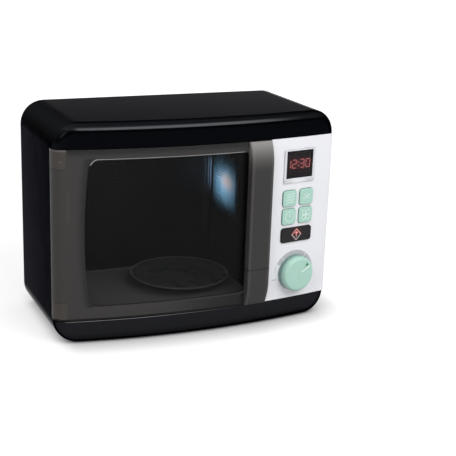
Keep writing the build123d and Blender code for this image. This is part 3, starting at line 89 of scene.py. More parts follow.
# ---------------------------------------------------------------- material tools
class Shader:
    """A new material with short calls for its nodes and links."""

    def __init__(self, name):
        self.material = bpy.data.materials.new(name)
        self.material.use_nodes = True
        self.tree = self.material.node_tree
        self.surface = self.tree.nodes["Principled BSDF"]

    def node(self, kind, **settings):
        made = self.tree.nodes.new(kind)
        for key, value in settings.items():
            setattr(made, key, value)
        return made

    def link(self, source, target):
        self.tree.links.new(source, target)

    def connect(self, name, source):
        """Links a value to one of the surface's own sockets."""
        self.link(source, self.surface.inputs[name])

    def set(self, **values):
        """Sets the surface's own sockets."""
        for key, value in values.items():
            self.surface.inputs[key.replace("_", " ")].default_value = value

    def feed(self, socket, value):
        """Sets a socket to a number or a colour, or links it to another socket."""
        if isinstance(value, (int, float)):
            socket.default_value = value
        elif isinstance(value, (tuple, list, Vector)):
            socket.default_value = tuple(value)
        else:
            self.link(value, socket)

    def math(self, operation, a, b=0.0):
        made = self.node("ShaderNodeMath", operation=operation)
        self.feed(made.inputs[0], a)
        self.feed(made.inputs[1], b)
        return made.outputs[0]

    def plus(self, a, b):
        return self.math("ADD", a, b)

    def minus(self, a, b):
        return self.math("SUBTRACT", a, b)

    def times(self, first, *others):
        """The product of two or more values."""
        product = first
        for other in others:
            product = self.math("MULTIPLY", product, other)
        return product

    def absolute(self, value):
        """A value without its sign."""
        return self.math("ABSOLUTE", value)

    def off(self, value, place):
        """How far a value is from a place, to either side."""
        return self.absolute(self.minus(value, place))

    def squares(self, a, b):
        """The sum of two squares."""
        return self.plus(self.times(a, a), self.times(b, b))

    def fade(self, squared, spread):
        """1 where a squared distance is nothing, falling as a bell as it grows."""
        return self.math("POWER", euler, self.math("DIVIDE", squared, -(spread**2)))

    def place(self):
        """The shaded point in its own object, which is in the part's frame at rest."""
        return self.node("ShaderNodeTexCoord").outputs["Object"]

    def along(self, direction):
        """Distance of the shaded point along a direction, from the part's origin."""
        made = self.node("ShaderNodeVectorMath", operation="DOT_PRODUCT")
        self.link(self.place(), made.inputs[0])
        made.inputs[1].default_value = tuple(direction)
        return made.outputs["Value"]

    def on_panel(self, foot):
        """Where the shaded point is on the control panel: to the right of its middle, and above a height."""
        u = self.minus(self.along(panel_right), panel_origin.dot(panel_right))
        return u, self.minus(self.along(up), foot)

    def from_centre(self, name, lift=0.0):
        """Where the shaded point is on the panel, from a node's middle or from a point above it."""
        centre = middle(name)
        aside = self.minus(self.along(panel_right), centre.dot(panel_right))
        return aside, self.minus(self.along(up), centre.z + lift)

    def noise(self, scale, detail, roughness=0.5):
        made = self.node("ShaderNodeTexNoise")
        self.link(self.place(), made.inputs["Vector"])
        for name, value in (("Scale", scale), ("Detail", detail), ("Roughness", roughness)):
            made.inputs[name].default_value = value
        return made.outputs["Fac"]

    def span(self, value, low, high, to_low=0.0, to_high=1.0):
        """Maps value smoothly from one span to another, held at both ends."""
        made = self.node("ShaderNodeMapRange", interpolation_type="SMOOTHSTEP")
        for socket, number in zip(made.inputs, (value, low, high, to_low, to_high)):
            self.feed(socket, number)
        return made.outputs[0]

    def mix(self, factor, a, b):
        """Mixes two colours."""
        made = self.node("ShaderNodeMix", data_type="RGBA")
        self.feed(made.inputs["Factor"], factor)
        for name, value in (("A", a), ("B", b)):
            socket = next(s for s in made.inputs if s.name == name and s.type == "RGBA")
            self.feed(socket, (*value, 1) if isinstance(value, tuple) else value)
        return next(s for s in made.outputs if s.type == "RGBA")

    def bump(self, layers, edge):
        """Rounds the edges by a radius, then bumps the surface by heights and their distances, in mm."""
        round_edge = self.node("ShaderNodeBevel", samples=4)
        round_edge.inputs["Radius"].default_value = edge * mm
        normal = round_edge.outputs["Normal"]
        for value, distance in layers:
            made = self.node("ShaderNodeBump")
            made.inputs["Distance"].default_value = distance * mm
            self.link(value, made.inputs["Height"])
            self.link(normal, made.inputs["Normal"])
            normal = made.outputs["Normal"]
        self.connect("Normal", normal)


def moulded(name, dark, light, rough, peel=0.004, grain=0.0006, **values):
    """Moulded plastic: slow changes of colour, uneven gloss, a faint orange peel and a fine grain."""
    cloud_scale, gloss_scale, peel_scale, grain_scale = 38, 90, 300, 2600
    edge_radius = 0.35
    s = Shader(name)
    s.set(**values)
    s.colour = s.mix(s.noise(cloud_scale, 4), dark, light)
    s.connect("Base Color", s.colour)
    s.connect("Roughness", s.span(s.noise(gloss_scale, 5, 0.6), 0.3, 0.7, *rough))
    s.bump([(s.noise(peel_scale, 2), peel), (s.noise(grain_scale, 2), grain)], edge_radius)
    return s


def recolour(shader, factor, colour):
    """Lays a colour over what the shader has so far, where the factor is 1."""
    shader.colour = shader.mix(factor, shader.colour, colour)
    shader.connect("Base Color", shader.colour)


def paint(shader, *names):
    """Gives a material to CAD nodes."""
    for name in names:
        mesh = nodes[name].data
        mesh.materials.clear()
        mesh.materials.append(shader.material)


def inside(s, off_a, off_b, half_a, half_b):
    """1 inside a small rectangle, given the distances from its middle and its half sides."""
    soft = 0.1 * mm
    near_a = s.span(s.absolute(off_a), half_a + soft, half_a - soft)
    near_b = s.span(s.absolute(off_b), half_b + soft, half_b - soft)
    return s.times(near_a, near_b)


# ---------------------------------------------------------------- black plastics
def polished_black(name="case_black"):
    """Polished black plastic. The pale floor would turn a clear coat grey at a low angle, so its gloss is a
    dark mirror whose edge tint keeps it black there, as in a dark studio. At the front its reflection is
    painted by height: a brighter sheen on the base, painted shade on the band over the door, a painted
    highlight on the roll above it, and the plain level again at the roll's crest. Rolled edges that lean
    away get a faint painted glow."""
    edge_tint = (0.292, 0.292, 0.305, 1)
    base_painted_sheen = (0.0135, 0.0138, 0.0160)
    band_painted_shade = (0.0022, 0.0024, 0.0032)
    crest_tone = (0.0078, 0.0084, 0.0105)
    roll_highlight_left = (0.0198, 0.0203, 0.0222)
    roll_highlight_right = (0.0140, 0.0145, 0.0160)
    side_painted_glow, front_painted_glow = 0.024, 0.0030
    s = moulded(name, (0.0072, 0.0078, 0.0098), (0.0084, 0.0091, 0.0113), (0.16, 0.21), peel=0.0025,
                Metallic=1.0, Specular_Tint=edge_tint)
    z = s.along(up)
    in_front = s.span(s.along(back), -50 * mm, -62 * mm)
    base = s.span(z, 26 * mm, 24 * mm)
    band = s.span(z, 195 * mm, 197 * mm)
    roll = s.span(z, height - 7.2 * mm, height - 6.2 * mm)
    crest = s.span(z, height - 4.2 * mm, height - 2.8 * mm)
    roll_painted_highlight = s.mix(s.span(s.along(right), 30 * mm, 130 * mm), roll_highlight_left, roll_highlight_right)
    # Painted reflection by height at the front: a sheen on the base, shade on the band over the door, a
    # highlight on the roll, and the plain level at the crest.
    for zone, tone in ((base, base_painted_sheen), (band, band_painted_shade), (roll, roll_painted_highlight), (crest, crest_tone)):
        recolour(s, s.times(zone, in_front), tone)

    # The dark mirror goes fully black where a rolled edge leans away, so those edges get a faint painted
    # glow, an emission that stands in for their reflection.
    facing = s.node("ShaderNodeSeparateXYZ")
    s.link(s.node("ShaderNodeNewGeometry").outputs["Normal"], facing.inputs[0])
    rise = s.math("MAXIMUM", facing.outputs["Z"], 0.0)
    side = s.times(s.math("POWER", rise, 2.0), s.absolute(facing.outputs["X"]), side_painted_glow)
    over_crest = s.span(z, height - 2.6 * mm, height - 1.6 * mm)
    under_top = s.span(z, height - 0.03 * mm, height - 0.3 * mm)
    front = s.times(over_crest, under_top, in_front, front_painted_glow)
    s.connect("Emission Strength", s.math("MAXIMUM", side, front))
    s.set(Emission_Color=(0.9, 0.95, 1.0, 1))
    return s


def rear_black():
    """The rear cover's black, with a bar for on and a ring for off printed beside the switch."""
    print_grey = (0.34, 0.34, 0.35)
    bar_gap, bar_half_w, bar_half_h = 9 * mm, 0.45 * mm, 2.2 * mm
    ring_gap, ring_r, ring_out, ring_in = 5 * mm, 1.8 * mm, 0.45 * mm, 0.3 * mm
    s = polished_black("rear_black")
    low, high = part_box("switch_slider")
    x, z = s.along(right), s.minus(s.along(up), (low[2] + high[2]) / 2)
    bar = inside(s, s.minus(x, high[0] + bar_gap), z, bar_half_w, bar_half_h)
    from_ring = s.math("SQRT", s.squares(s.minus(x, low[0] - ring_gap), z))
    ring = s.span(s.off(from_ring, ring_r), ring_out, ring_in)
    recolour(s, s.math("MAXIMUM", bar, ring), print_grey)
    return s


def screw_steel():
    """Zinc-plated screws seen from behind, with painted shade in the cross recess of each head."""
    # Painted shade for the cross recess in each head.
    recess = (0.012, 0.012, 0.013)
    arm_half_w, arm_half_l = 0.4 * mm, 1.7 * mm
    corner_x, corner_z, centre_z = 135.75 * mm, 96.75 * mm, 100.99 * mm
    lid_x, lid_z = 103.0 * mm, 76.2 * mm
    s = moulded("screw_steel", (0.16, 0.165, 0.175), (0.24, 0.245, 0.255), (0.3, 0.45), Metallic=1.0)
    aside = s.absolute(s.along(right))
    from_middle = s.off(s.along(up), height / 2)
    corners = s.minus(aside, corner_x), s.minus(from_middle, corner_z)
    centres = aside, s.minus(from_middle, centre_z)
    lid = s.minus(aside, lid_x), s.minus(s.along(up), lid_z)
    for off_x, off_z in (corners, centres, lid):
        recolour(s, inside(s, off_x, off_z, arm_half_w, arm_half_l), recess)
        recolour(s, inside(s, off_x, off_z, arm_half_l, arm_half_w), recess)
    return s


def cavity_black():
    """The cavity's liner: black walls, a floor painted paler where light falls into the cavity, and painted
    glowing stripes of the lamp's light on the wall behind the lens.
    """
    liner_wall = 1.8 * mm
    floor_painted_light = (0.44, 0.43, 0.42)
    stripes = ((61.2, 1.0), (59.4, 0.7), (56.6, 0.3), (54.4, 0.12))
    stripe_out, stripe_in, stripe_painted_glow = 0.75 * mm, 0.2 * mm, 0.7
    s = moulded("cavity_black", (0.007, 0.007, 0.0075), (0.010, 0.010, 0.0105), (0.3, 0.4),
                Specular_IOR_Level=0.3)
    floor_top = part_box("cavity_liner")[0][2] + liner_wall
    # Painted light: the floor is made paler where light falls into the cavity.
    recolour(s, s.span(s.along(up), floor_top + 2.5 * mm, floor_top + 0.4 * mm), floor_painted_light)
    x, z = s.along(right), s.along(up)
    # Painted light: the wall behind the lens glows in stripes of the lamp's light.
    lit = 0.0
    for place, level in stripes:
        lit = s.plus(lit, s.span(s.off(x, place * mm), stripe_out, stripe_in, 0.0, level))
    rise = s.minus(z, middle("lamp_led").z)
    in_height = s.times(s.span(rise, 22 * mm, 14 * mm), s.span(rise, -24 * mm, 2 * mm))
    lens_back = reach("lamp_lens", back)
    behind = s.span(s.along(back), lens_back, lens_back + 1.5 * mm)
    s.connect("Emission Strength", s.times(lit, in_height, behind, stripe_painted_glow))
    s.set(Emission_Color=(0.36, 0.60, 0.95, 1))
    return s


case_black = polished_black()
inner_black = moulded("inner_black", (0.008, 0.008, 0.009), (0.012, 0.012, 0.013), (0.45, 0.6),
                      Specular_IOR_Level=0.3)
liner_black = cavity_black()


# ---------------------------------------------------------------- smoked plastics
def door_smoke():
    """Frosted smoke plastic: darker towards the window, with painted shade at its top and darker at its low
    right; the solid hinge blocks look paler, with the pin's dot, the block's edge line, a bar between the
    blocks, a painted highlight along the top edge at the hinge and a painted shadow line along its foot."""
    window_side_tone = (0.020, 0.0195, 0.019)
    top_painted_light = (0.018, 0.0174, 0.0174)
    low_tone = (0.012, 0.0114, 0.0114)
    strip_tone = (0.048, 0.0445, 0.042)
    block_tone = (0.064, 0.0565, 0.0515)
    line_tone = (0.032, 0.030, 0.029)
    pin_tone = (0.13, 0.12, 0.10)
    bar_tone = (0.062, 0.058, 0.055)
    rim_painted_highlight = (0.13, 0.12, 0.115)
    foot_painted_shade = (0.004, 0.004, 0.004)
    s = moulded("door_smoke", (0.043, 0.0405, 0.0395), (0.048, 0.0455, 0.044), (0.42, 0.5),
                Specular_IOR_Level=0.2)
    x, z = s.along(right), s.along(up)

    window_half = (window_top - window_low) / 2
    up_window = s.math("DIVIDE", s.minus(z, (window_top + window_low) / 2), window_half)
    bulge = s.times(s.minus(1.0, s.times(up_window, up_window)), window_bulge)
    from_window = s.plus(s.minus(x, window_left), bulge)
    beside_window = s.times(s.span(from_window, -9 * mm, 0.0), s.span(x, -108 * mm, -114 * mm))
    # Darker towards the window.
    recolour(s, s.times(beside_window, s.span(s.absolute(up_window), 1.04, 0.98)), window_side_tone)
    # Painted shade over the top of the door.
    recolour(s, s.span(z, window_top, 196 * mm), top_painted_light)
    low_right = s.times(s.span(z, 40 * mm, 36 * mm), s.span(x, -60 * mm, 40 * mm))
    recolour(s, low_right, low_tone)

    block_inner, strip_from, strip_to = -138.5 * mm, -134.0 * mm, -140.0 * mm
    at_hinge = s.span(x, block_inner + 1 * mm, block_inner)
    up_hinge = s.off(z, hinge_middle)
    at_block = s.span(up_hinge, 67.2 * mm, 68.0 * mm)
    at_line = s.times(s.span(up_hinge, 66.4 * mm, 66.8 * mm), s.span(up_hinge, 67.7 * mm, 67.2 * mm))
    recolour(s, s.span(x, strip_from, strip_to), strip_tone)
    recolour(s, s.times(at_hinge, at_block), block_tone)
    recolour(s, s.times(at_hinge, at_line), line_tone)
    pin_x, pin_z, pin_out, pin_in = -142.8 * mm, 185.5 * mm, 1.1 * mm, 0.6 * mm
    from_pin = s.squares(s.minus(x, pin_x), s.minus(z, pin_z))
    recolour(s, s.span(from_pin, pin_out**2, pin_in**2), pin_tone)
    bar_x, bar_z = -136.1 * mm, 141 * mm
    bar = s.times(s.span(s.off(x, bar_x), 1.4 * mm, 0.9 * mm), s.span(s.off(z, bar_z), 15 * mm, 13.5 * mm))
    recolour(s, s.times(bar, 0.7), bar_tone)
    # A painted highlight along the top edge at the hinge, and a painted shadow line along the door's foot.
    recolour(s, s.times(s.span(z, 195.0 * mm, 195.5 * mm), at_hinge), rim_painted_highlight)
    recolour(s, s.span(z, door_low + 2.2 * mm, door_low + 1.6 * mm), foot_painted_shade)
    s.set(Alpha=0.88)
    return s


def grip_smoke():
    """The handle's smoke plastic, with a painted sheen along its edges and painted light where light from
    above meets its upper end.
    """
    edge_painted_light = (0.062, 0.0590, 0.0575)
    seam_tone = (0.014, 0.0135, 0.0135)
    top_painted_light = (0.26, 0.25, 0.24)
    seam_z, top_power = 64.6 * mm, 1.6
    s = moulded("grip_smoke", (0.0330, 0.0312, 0.0306), (0.0355, 0.0336, 0.0330), (0.32, 0.4),
                Specular_IOR_Level=0.22)
    low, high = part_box("door_handle")
    aside = s.off(s.along(right), (low[0] + high[0]) / 2)
    edge_at = (high[0] - low[0]) / 2
    # Painted sheen along the handle's edges.
    recolour(s, s.span(aside, edge_at - 4.2 * mm, edge_at - 2.0 * mm), edge_painted_light)
    recolour(s, s.span(s.off(s.along(up), seam_z), 0.9 * mm, 0.4 * mm), seam_tone)
    # Painted light at the upper end, where light from above meets it.
    lit_end = s.span(s.along(up), 162 * mm, 200 * mm)
    recolour(s, s.math("POWER", lit_end, top_power), top_painted_light)
    s.set(Alpha=0.95)
    return s


def plate_smoke():
    """The plate's pale smoke plastic, with a painted highlight on its rim."""
    rim_painted_highlight = (0.62, 0.62, 0.62)
    s = moulded("plate_smoke", (0.165, 0.163, 0.161), (0.172, 0.170, 0.168), (0.26, 0.3), peel=0.001,
                Alpha=0.8, Specular_IOR_Level=0.35)
    top = reach("turntable", up)
    # Painted highlight on the rim.
    recolour(s, s.span(s.along(up), top - 0.5 * mm, top - 0.2 * mm), rim_painted_highlight)
    return s


pane = moulded("pane", (0.004, 0.004, 0.004), (0.005, 0.005, 0.005), (0.05, 0.08), peel=0.0004, grain=0.0,
               Alpha=0.42, Specular_IOR_Level=0.10)

# ---------------------------------------------------------------- control column
white_finish = (0.84, 0.845, 0.875), (0.865, 0.87, 0.90), (0.3, 0.4)
mint_tones = (0.40, 0.645, 0.54), (0.43, 0.68, 0.58)
panel_white = moulded("panel_white", *white_finish, Specular_IOR_Level=0.3)


def printed_panel():
    """The control panel: white, with one short grey line printed left of the knob."""
    line_grey = (0.30, 0.30, 0.32)
    line_u, line_v = -24.0 * mm, 46.7 * mm
    s = moulded("panel_face", *white_finish, Specular_IOR_Level=0.3)
    u, v = s.on_panel(line_v)
    on_line = s.span(s.absolute(v), 0.36 * mm, 0.22 * mm)
    in_reach = s.span(s.off(u, line_u), 2.8 * mm, 2.5 * mm)
    recolour(s, s.times(on_line, in_reach), line_grey)
    return s


def key_mint():
    """Mint of the keys, with the raised signs paler and painted shade on the edges round the caps."""
    sign_rise = 0.35 * mm
    edge_painted_light = (0.16, 0.30, 0.25)
    sign_tone = (0.70, 0.88, 0.82)
    s = moulded("key_mint", *mint_tones, (0.3, 0.42), Specular_IOR_Level=0.4)
    sign_top = reach("key_heat", panel_out)
    face = sign_top - sign_rise
    out = s.along(panel_out)
    # Painted shade on the edges round the caps.
    recolour(s, s.span(out, face - 0.2 * mm, face - 0.9 * mm), edge_painted_light)
    recolour(s, s.span(out, face + 0.1 * mm, sign_top - 0.05 * mm), sign_tone)
    return s


def knob_line():
    """The knob's pointer: a mint wedge with a painted highlight along one edge, and painted shade in deep
    green where it is deepest.
    """
    deep_painted_shade = (0.03, 0.20, 0.06)
    pointer_painted_highlight = (0.80, 0.95, 0.87)
    s = moulded("pointer", (0.36, 0.58, 0.49), (0.39, 0.62, 0.53), (0.35, 0.5))
    outwards = panel_right * cos(pointer_turn) + up * sin(pointer_turn)
    aside = panel_right * sin(pointer_turn) - up * cos(pointer_turn)
    end = reach("knob_pointer", outwards)
    axis_at = reach("knob_pointer", aside) - pointer_half
    from_tip = s.minus(s.along(outwards), end - pointer_long)
    from_edge = s.minus(s.times(from_tip, pointer_half / pointer_long), s.minus(s.along(aside), axis_at))
    # A painted highlight along the wedge's lit edge, and painted shade where it is deepest.
    bright = s.span(from_edge, 1.5 * mm, 1.1 * mm)
    outer = s.span(s.along(outwards), end - 3.9 * mm, end - 2.8 * mm)
    recolour(s, s.times(outer, s.span(from_edge, 2.4 * mm, 3.1 * mm)), deep_painted_shade)
    recolour(s, bright, pointer_painted_highlight)
    return s


def start_sign():
    """The start key's lit sign: red at its head and in the arrow, paling to white at its foot."""
    pale_tone = (0.24, 0.22, 0.22)
    red_light = (1.0, 0.36, 0.36)
    pale_light = (0.42, 0.36, 0.37)
    s = moulded("symbol", (0.30, 0.10, 0.10), (0.34, 0.12, 0.12), (0.4, 0.5))
    low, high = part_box("start_symbol")
    aside, rise = s.from_centre("start_symbol")
    half_h = (high[2] - low[2]) / 2
    rim_aside = s.math("DIVIDE", s.absolute(aside), sign_half_w)
    rim = s.plus(rim_aside, s.math("DIVIDE", s.absolute(rise), half_h))
    foot = s.span(rise, 1.4 * mm, -1.2 * mm)
    pale = s.times(s.span(rim, 0.70, 0.78, 0.45, 1.0), foot)
    recolour(s, pale, pale_tone)
    s.connect("Emission Color", s.mix(pale, red_light, pale_light))
    s.set(Emission_Strength=0.62)
    return s


def start_black():
    """The start key's near-black plastic, with the sign's red glow round the arrow's head."""
    head_lift, glow_spread, glow_level = 2.2 * mm, 3.9 * mm, 0.095
    s = moulded("start_dark", (0.0085, 0.0075, 0.0075), (0.0115, 0.0100, 0.0100), (0.3, 0.4),
                Specular_IOR_Level=0.2)
    glow = s.fade(s.squares(*s.from_centre("start_symbol", head_lift)), glow_spread)
    s.connect("Emission Strength", s.times(glow, glow_level))
    s.set(Emission_Color=(1.0, 0.26, 0.26, 1))
    return s


def knob_mint():
    """Mint of the knob, with painted shade towards its foot, where it sits in the ring."""
    foot_painted_shade = (0.15, 0.27, 0.235)
    s = moulded("knob_mint", *mint_tones, (0.26, 0.36), Specular_IOR_Level=0.45)
    face = reach("knob", panel_out)
    # Painted shade towards the knob's foot.
    recolour(s, s.span(s.along(panel_out), face - 3.0 * mm, face - 8.5 * mm), foot_painted_shade)
    return s


def printed_scale():
    """The grey scale round the knob, which ends in white at its left."""
    end_white = (0.85, 0.855, 0.885)
    end_slope = 0.53
    s = moulded("scale_grey", (0.47, 0.48, 0.51), (0.52, 0.53, 0.56), (0.45, 0.6))
    u, v = s.on_panel(middle("knob").z)
    below_end = s.span(s.plus(v, s.times(u, end_slope)), 0.5 * mm, -0.5 * mm)
    recolour(s, s.times(below_end, s.span(u, -8 * mm, -9 * mm)), end_white)
    return s


def silver_paint():
    """The bezel's silver paint, with a painted reflection that darkens from its middle to both sides, most
    at its foot.
    """
    side_painted_reflection = (0.52, 0.52, 0.54)
    reflection_middle_u = -1 * mm
    s = moulded("silver_paint", (0.60, 0.61, 0.63), (0.68, 0.69, 0.71), (0.24, 0.36), Metallic=0.85)
    u, v = s.on_panel(middle("display_bezel").z)
    # Painted reflection: the silver darkens from its middle to both sides, most at its foot.
    aside = s.span(s.off(u, reflection_middle_u), 3 * mm, 14 * mm)
    above_foot = s.span(v, -13 * mm, -15 * mm, 0.3, 1.0)
    recolour(s, s.times(aside, above_foot), side_painted_reflection)
    return s


screen = moulded("screen", (0.010, 0.009, 0.010), (0.013, 0.011, 0.013), (0.08, 0.12), peel=0.001,
                 grain=0.0, Alpha=0.35, Specular_IOR_Level=0.12)
digits = moulded("digits", (0.12, 0.03, 0.03), (0.15, 0.04, 0.04), (0.4, 0.5),
                 Emission_Color=(1.0, 0.31, 0.32, 1), Emission_Strength=0.86)


def display_back():
    """The display's dark back, which the digits light red round themselves."""
    glow_spread, glow_level = 5.2 * mm, 0.11
    s = moulded("module", (0.008, 0.007, 0.008), (0.010, 0.008, 0.009), (0.5, 0.6), peel=0.001, grain=0.0)
    low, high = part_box("display_digits")
    half_row = (high[0] - low[0]) / 2
    aside, rise = s.from_centre("display_digits")
    in_row = s.span(s.absolute(aside), half_row + 3 * mm, half_row - 2 * mm)
    glow = s.fade(s.times(rise, rise), glow_spread)
    s.connect("Emission Strength", s.times(glow, in_row, glow_level))
    s.set(Emission_Color=(1.0, 0.10, 0.11, 1))
    return s


# ---------------------------------------------------------------- lamp
led = moulded("led", (0.9, 0.92, 1.0), (0.95, 0.97, 1.0), (0.2, 0.3),
              Emission_Color=(0.85, 0.93, 1.0, 1), Emission_Strength=6.0)
reflector = moulded("reflector", (0.7, 0.72, 0.74), (0.8, 0.82, 0.84), (0.2, 0.3))


def lit_lens():
    """The ribbed lens over the lamp: a pale core in a wide blue glow, dimmer between the ridges, below the
    lamp and towards the back."""
    halo_light = (0.29, 0.66, 1.0)
    core_light = (1.0, 0.90, 0.93)
    halo_level, core_drop = 2.05, 0.77
    groove_shade, core_clear, pocket_share = 0.85, 0.85, 0.25
    s = moulded("lens", (0.006, 0.009, 0.015), (0.009, 0.013, 0.02), (0.2, 0.3))
    y, z = s.along(back), s.along(up)

    def bell(middle_y, middle_z, wide, above, below):
        """1 at a point, falling off over a width and over other heights above and below it, in mm."""
        off_y = s.math("DIVIDE", s.minus(y, middle_y * mm), wide * mm)
        rise = s.minus(z, middle_z * mm)
        off_z = s.math("DIVIDE", rise, s.span(rise, -1 * mm, 1 * mm, below * mm, above * mm))
        return s.math("POWER", euler, s.times(s.squares(off_y, off_z), -0.5))

    core = bell(12.4, 134.5, 11.0, 6.0, 6.0)
    halo = bell(22.0, 133.0, 18.0, 9.8, 15.0)
    ridge_top = -reach("lamp_lens", -right)
    between = s.span(s.along(right), ridge_top + 0.12 * mm, ridge_top + 0.38 * mm)
    past_y = s.span(s.off(y, lens_pocket[0]), 5.8 * mm, 6.2 * mm)
    past_z = s.span(s.off(z, lens_pocket[1]), 9.3 * mm, 9.7 * mm)
    between = s.times(between, s.math("MAXIMUM", s.math("MAXIMUM", past_y, past_z), pocket_share))
    clear = s.minus(1.0, s.times(core, core_clear))
    shade = s.minus(1.0, s.times(between, clear, groove_shade))
    level = s.minus(halo_level, s.times(core, core_drop))
    not_low = s.span(z, 99 * mm, 113 * mm, 0.12, 1.0)
    not_back = s.span(y, 53 * mm, 34 * mm, 0.45, 1.0)
    s.connect("Emission Color", s.mix(core, halo_light, core_light))
    s.connect("Emission Strength", s.times(level, halo, shade, not_low, not_back))
    return s


# ---------------------------------------------------------------- what the case holds
nylon = moulded("nylon", (0.72, 0.72, 0.68), (0.8, 0.8, 0.76), (0.4, 0.55))
steel = moulded("zinc_steel", (0.42, 0.43, 0.45), (0.6, 0.6, 0.62), (0.25, 0.45), Metallic=1.0)
board = moulded("circuit_board", (0.01, 0.08, 0.03), (0.015, 0.12, 0.045), (0.3, 0.5))
rubber = moulded("keypad_rubber", (0.3, 0.3, 0.31), (0.36, 0.36, 0.37), (0.6, 0.8))
cell = moulded("cell_wrap", (0.03, 0.03, 0.035), (0.05, 0.05, 0.055), (0.2, 0.3))
wire = moulded("lead_red", (0.35, 0.02, 0.02), (0.5, 0.04, 0.03), (0.4, 0.6))

paint(case_black, "case_shell", "battery_cover")
paint(rear_black(), "rear_cover")
paint(screw_steel(), "cover_screws", "battery_cover_screw")
paint(liner_black, "cavity_liner")
paint(inner_black, "front_frame", "battery_box", "power_switch", "door_catch", "speaker")
paint(panel_white, "switch_slider")
paint(printed_panel(), "control_panel")
paint(nylon, "ratchet_wheel", "turntable_spindle")
paint(steel, "hinge_pin_upper", "hinge_pin_lower", "catch_spring", "click_spring", "handle_screws",
      "knob_screw", "board_screws", "panel_screws", "spindle_clip", "battery_contacts")
paint(silver_paint(), "display_bezel")
paint(board, "circuit_board", "lamp_board")
paint(rubber, "rubber_keypad")
paint(cell, "batteries")
paint(wire, "wiring")
paint(printed_scale(), "knob_scale")
paint(plate_smoke(), "turntable")
paint(knob_mint(), "knob")
paint(key_mint(), "key_heat", "key_defrost", "key_clock", "key_fan")
paint(start_black(), "start_key")
paint(knob_line(), "knob_pointer")
paint(door_smoke(), "door_panel")
paint(grip_smoke(), "door_handle")
paint(pane, "door_window")
paint(screen, "display_window")
paint(display_back(), "display_module")
paint(digits, "display_digits")
paint(start_sign(), "start_symbol")
paint(reflector, "lamp_reflector")
paint(led, "lamp_led")
paint(lit_lens(), "lamp_lens")


# ---------------------------------------------------------------- fine pieces
def tube(name, points, radius):
    """A mesh tube along points, with closed ends."""
    sides = 8
    mesh = bpy.data.meshes.new(name)
    shape = bmesh.new()
    loops = []
    for index, point in enumerate(points):
        before = points[max(index - 1, 0)]
        after = points[min(index + 1, len(points) - 1)]
        across = (after - before).to_track_quat("Z", "Y").to_matrix()
        turns = [2 * pi * side / sides for side in range(sides)]
        loops.append([shape.verts.new(point + across @ Vector((cos(t), sin(t), 0)) * radius) for t in turns])
    for one, two in zip(loops, loops[1:]):
        for side in range(sides):
            other = (side + 1) % sides
            shape.faces.new((one[side], one[other], two[other], two[side]))
    shape.faces.new(list(reversed(loops[0])))
    shape.faces.new(loops[-1])
    bmesh.ops.recalc_face_normals(shape, faces=shape.faces)
    for face in shape.faces:
        face.smooth = len(face.verts) == 4
    shape.to_mesh(mesh)
    shape.free()
    return mesh


def bead(name, path, radius, shader, body):
    """A fine bead along a path: its mesh, its material and the body that it rides on."""
    mesh = tube(name, path, radius)
    mesh.materials.append(shader.material)
    made = bpy.data.objects.new(name, mesh)
    bpy.context.scene.collection.objects.link(made)
    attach(made, body)


def window_edge():
    """A bead round the top of the window's recess, pale as a painted highlight where the edge catches the
    light from above.
    """
    bead_r, inset, recess = 0.32 * mm, 0.3 * mm, 0.55 * mm
    arc_from, arc_turn, arc_steps, run_steps = 160, 70, 8, 24
    corner_x, corner_z = window_left + window_r, window_top - window_r
    points = []
    for step in range(arc_steps + 1):
        turn = radians(arc_from - step * arc_turn / arc_steps)
        arc_r = window_r - inset
        points.append((corner_x + arc_r * cos(turn), corner_z + arc_r * sin(turn)))
    for step in range(1, run_steps + 1):
        points.append((corner_x + (window_right - corner_x) * step / run_steps, window_top - inset))
    path = [front_point(x, z, recess) for x, z in points]
    # The bead's pale colour is a painted highlight.
    edge_highlight_shader = moulded("painted_highlight_edge", (0.55, 0.54, 0.52), (0.65, 0.64, 0.62), (0.12, 0.2))
    bead("window_edge", path, bead_r, edge_highlight_shader, "door")


def base_edge():
    """A bead on the upper edge of the case's base below the door, with a painted highlight towards the
    hinge, where the edge catches the light.
    """
    bead_r, drop, set_back = 0.3 * mm, 1.15 * mm, 0.16 * mm
    along_x = [(-140 + step * 8) * mm for step in range(26)]
    painted_highlight_tone = (0.21, 0.205, 0.21)
    s = moulded("base_edge", (0.006, 0.006, 0.007), (0.008, 0.008, 0.009), (0.4, 0.5),
                Specular_IOR_Level=0.2)
    # Painted highlight on the bead towards the hinge.
    recolour(s, s.span(s.along(right), 50 * mm, -70 * mm), painted_highlight_tone)
    path = [front_point(x, door_low - drop, set_back) for x in along_x]
    bead("base_edge", path, bead_r, s, "case")


window_edge()
base_edge()


# ---------------------------------------------------------------- floor and light
def seen_directly(s):
    """1 for rays that show the background: those from the camera, in reflections and through glass."""
    path = s.node("ShaderNodeLightPath")
    shown = s.math("MAXIMUM", path.outputs["Is Camera Ray"], path.outputs["Is Glossy Ray"])
    return s.math("MAXIMUM", shown, path.outputs["Is Transmission Ray"])


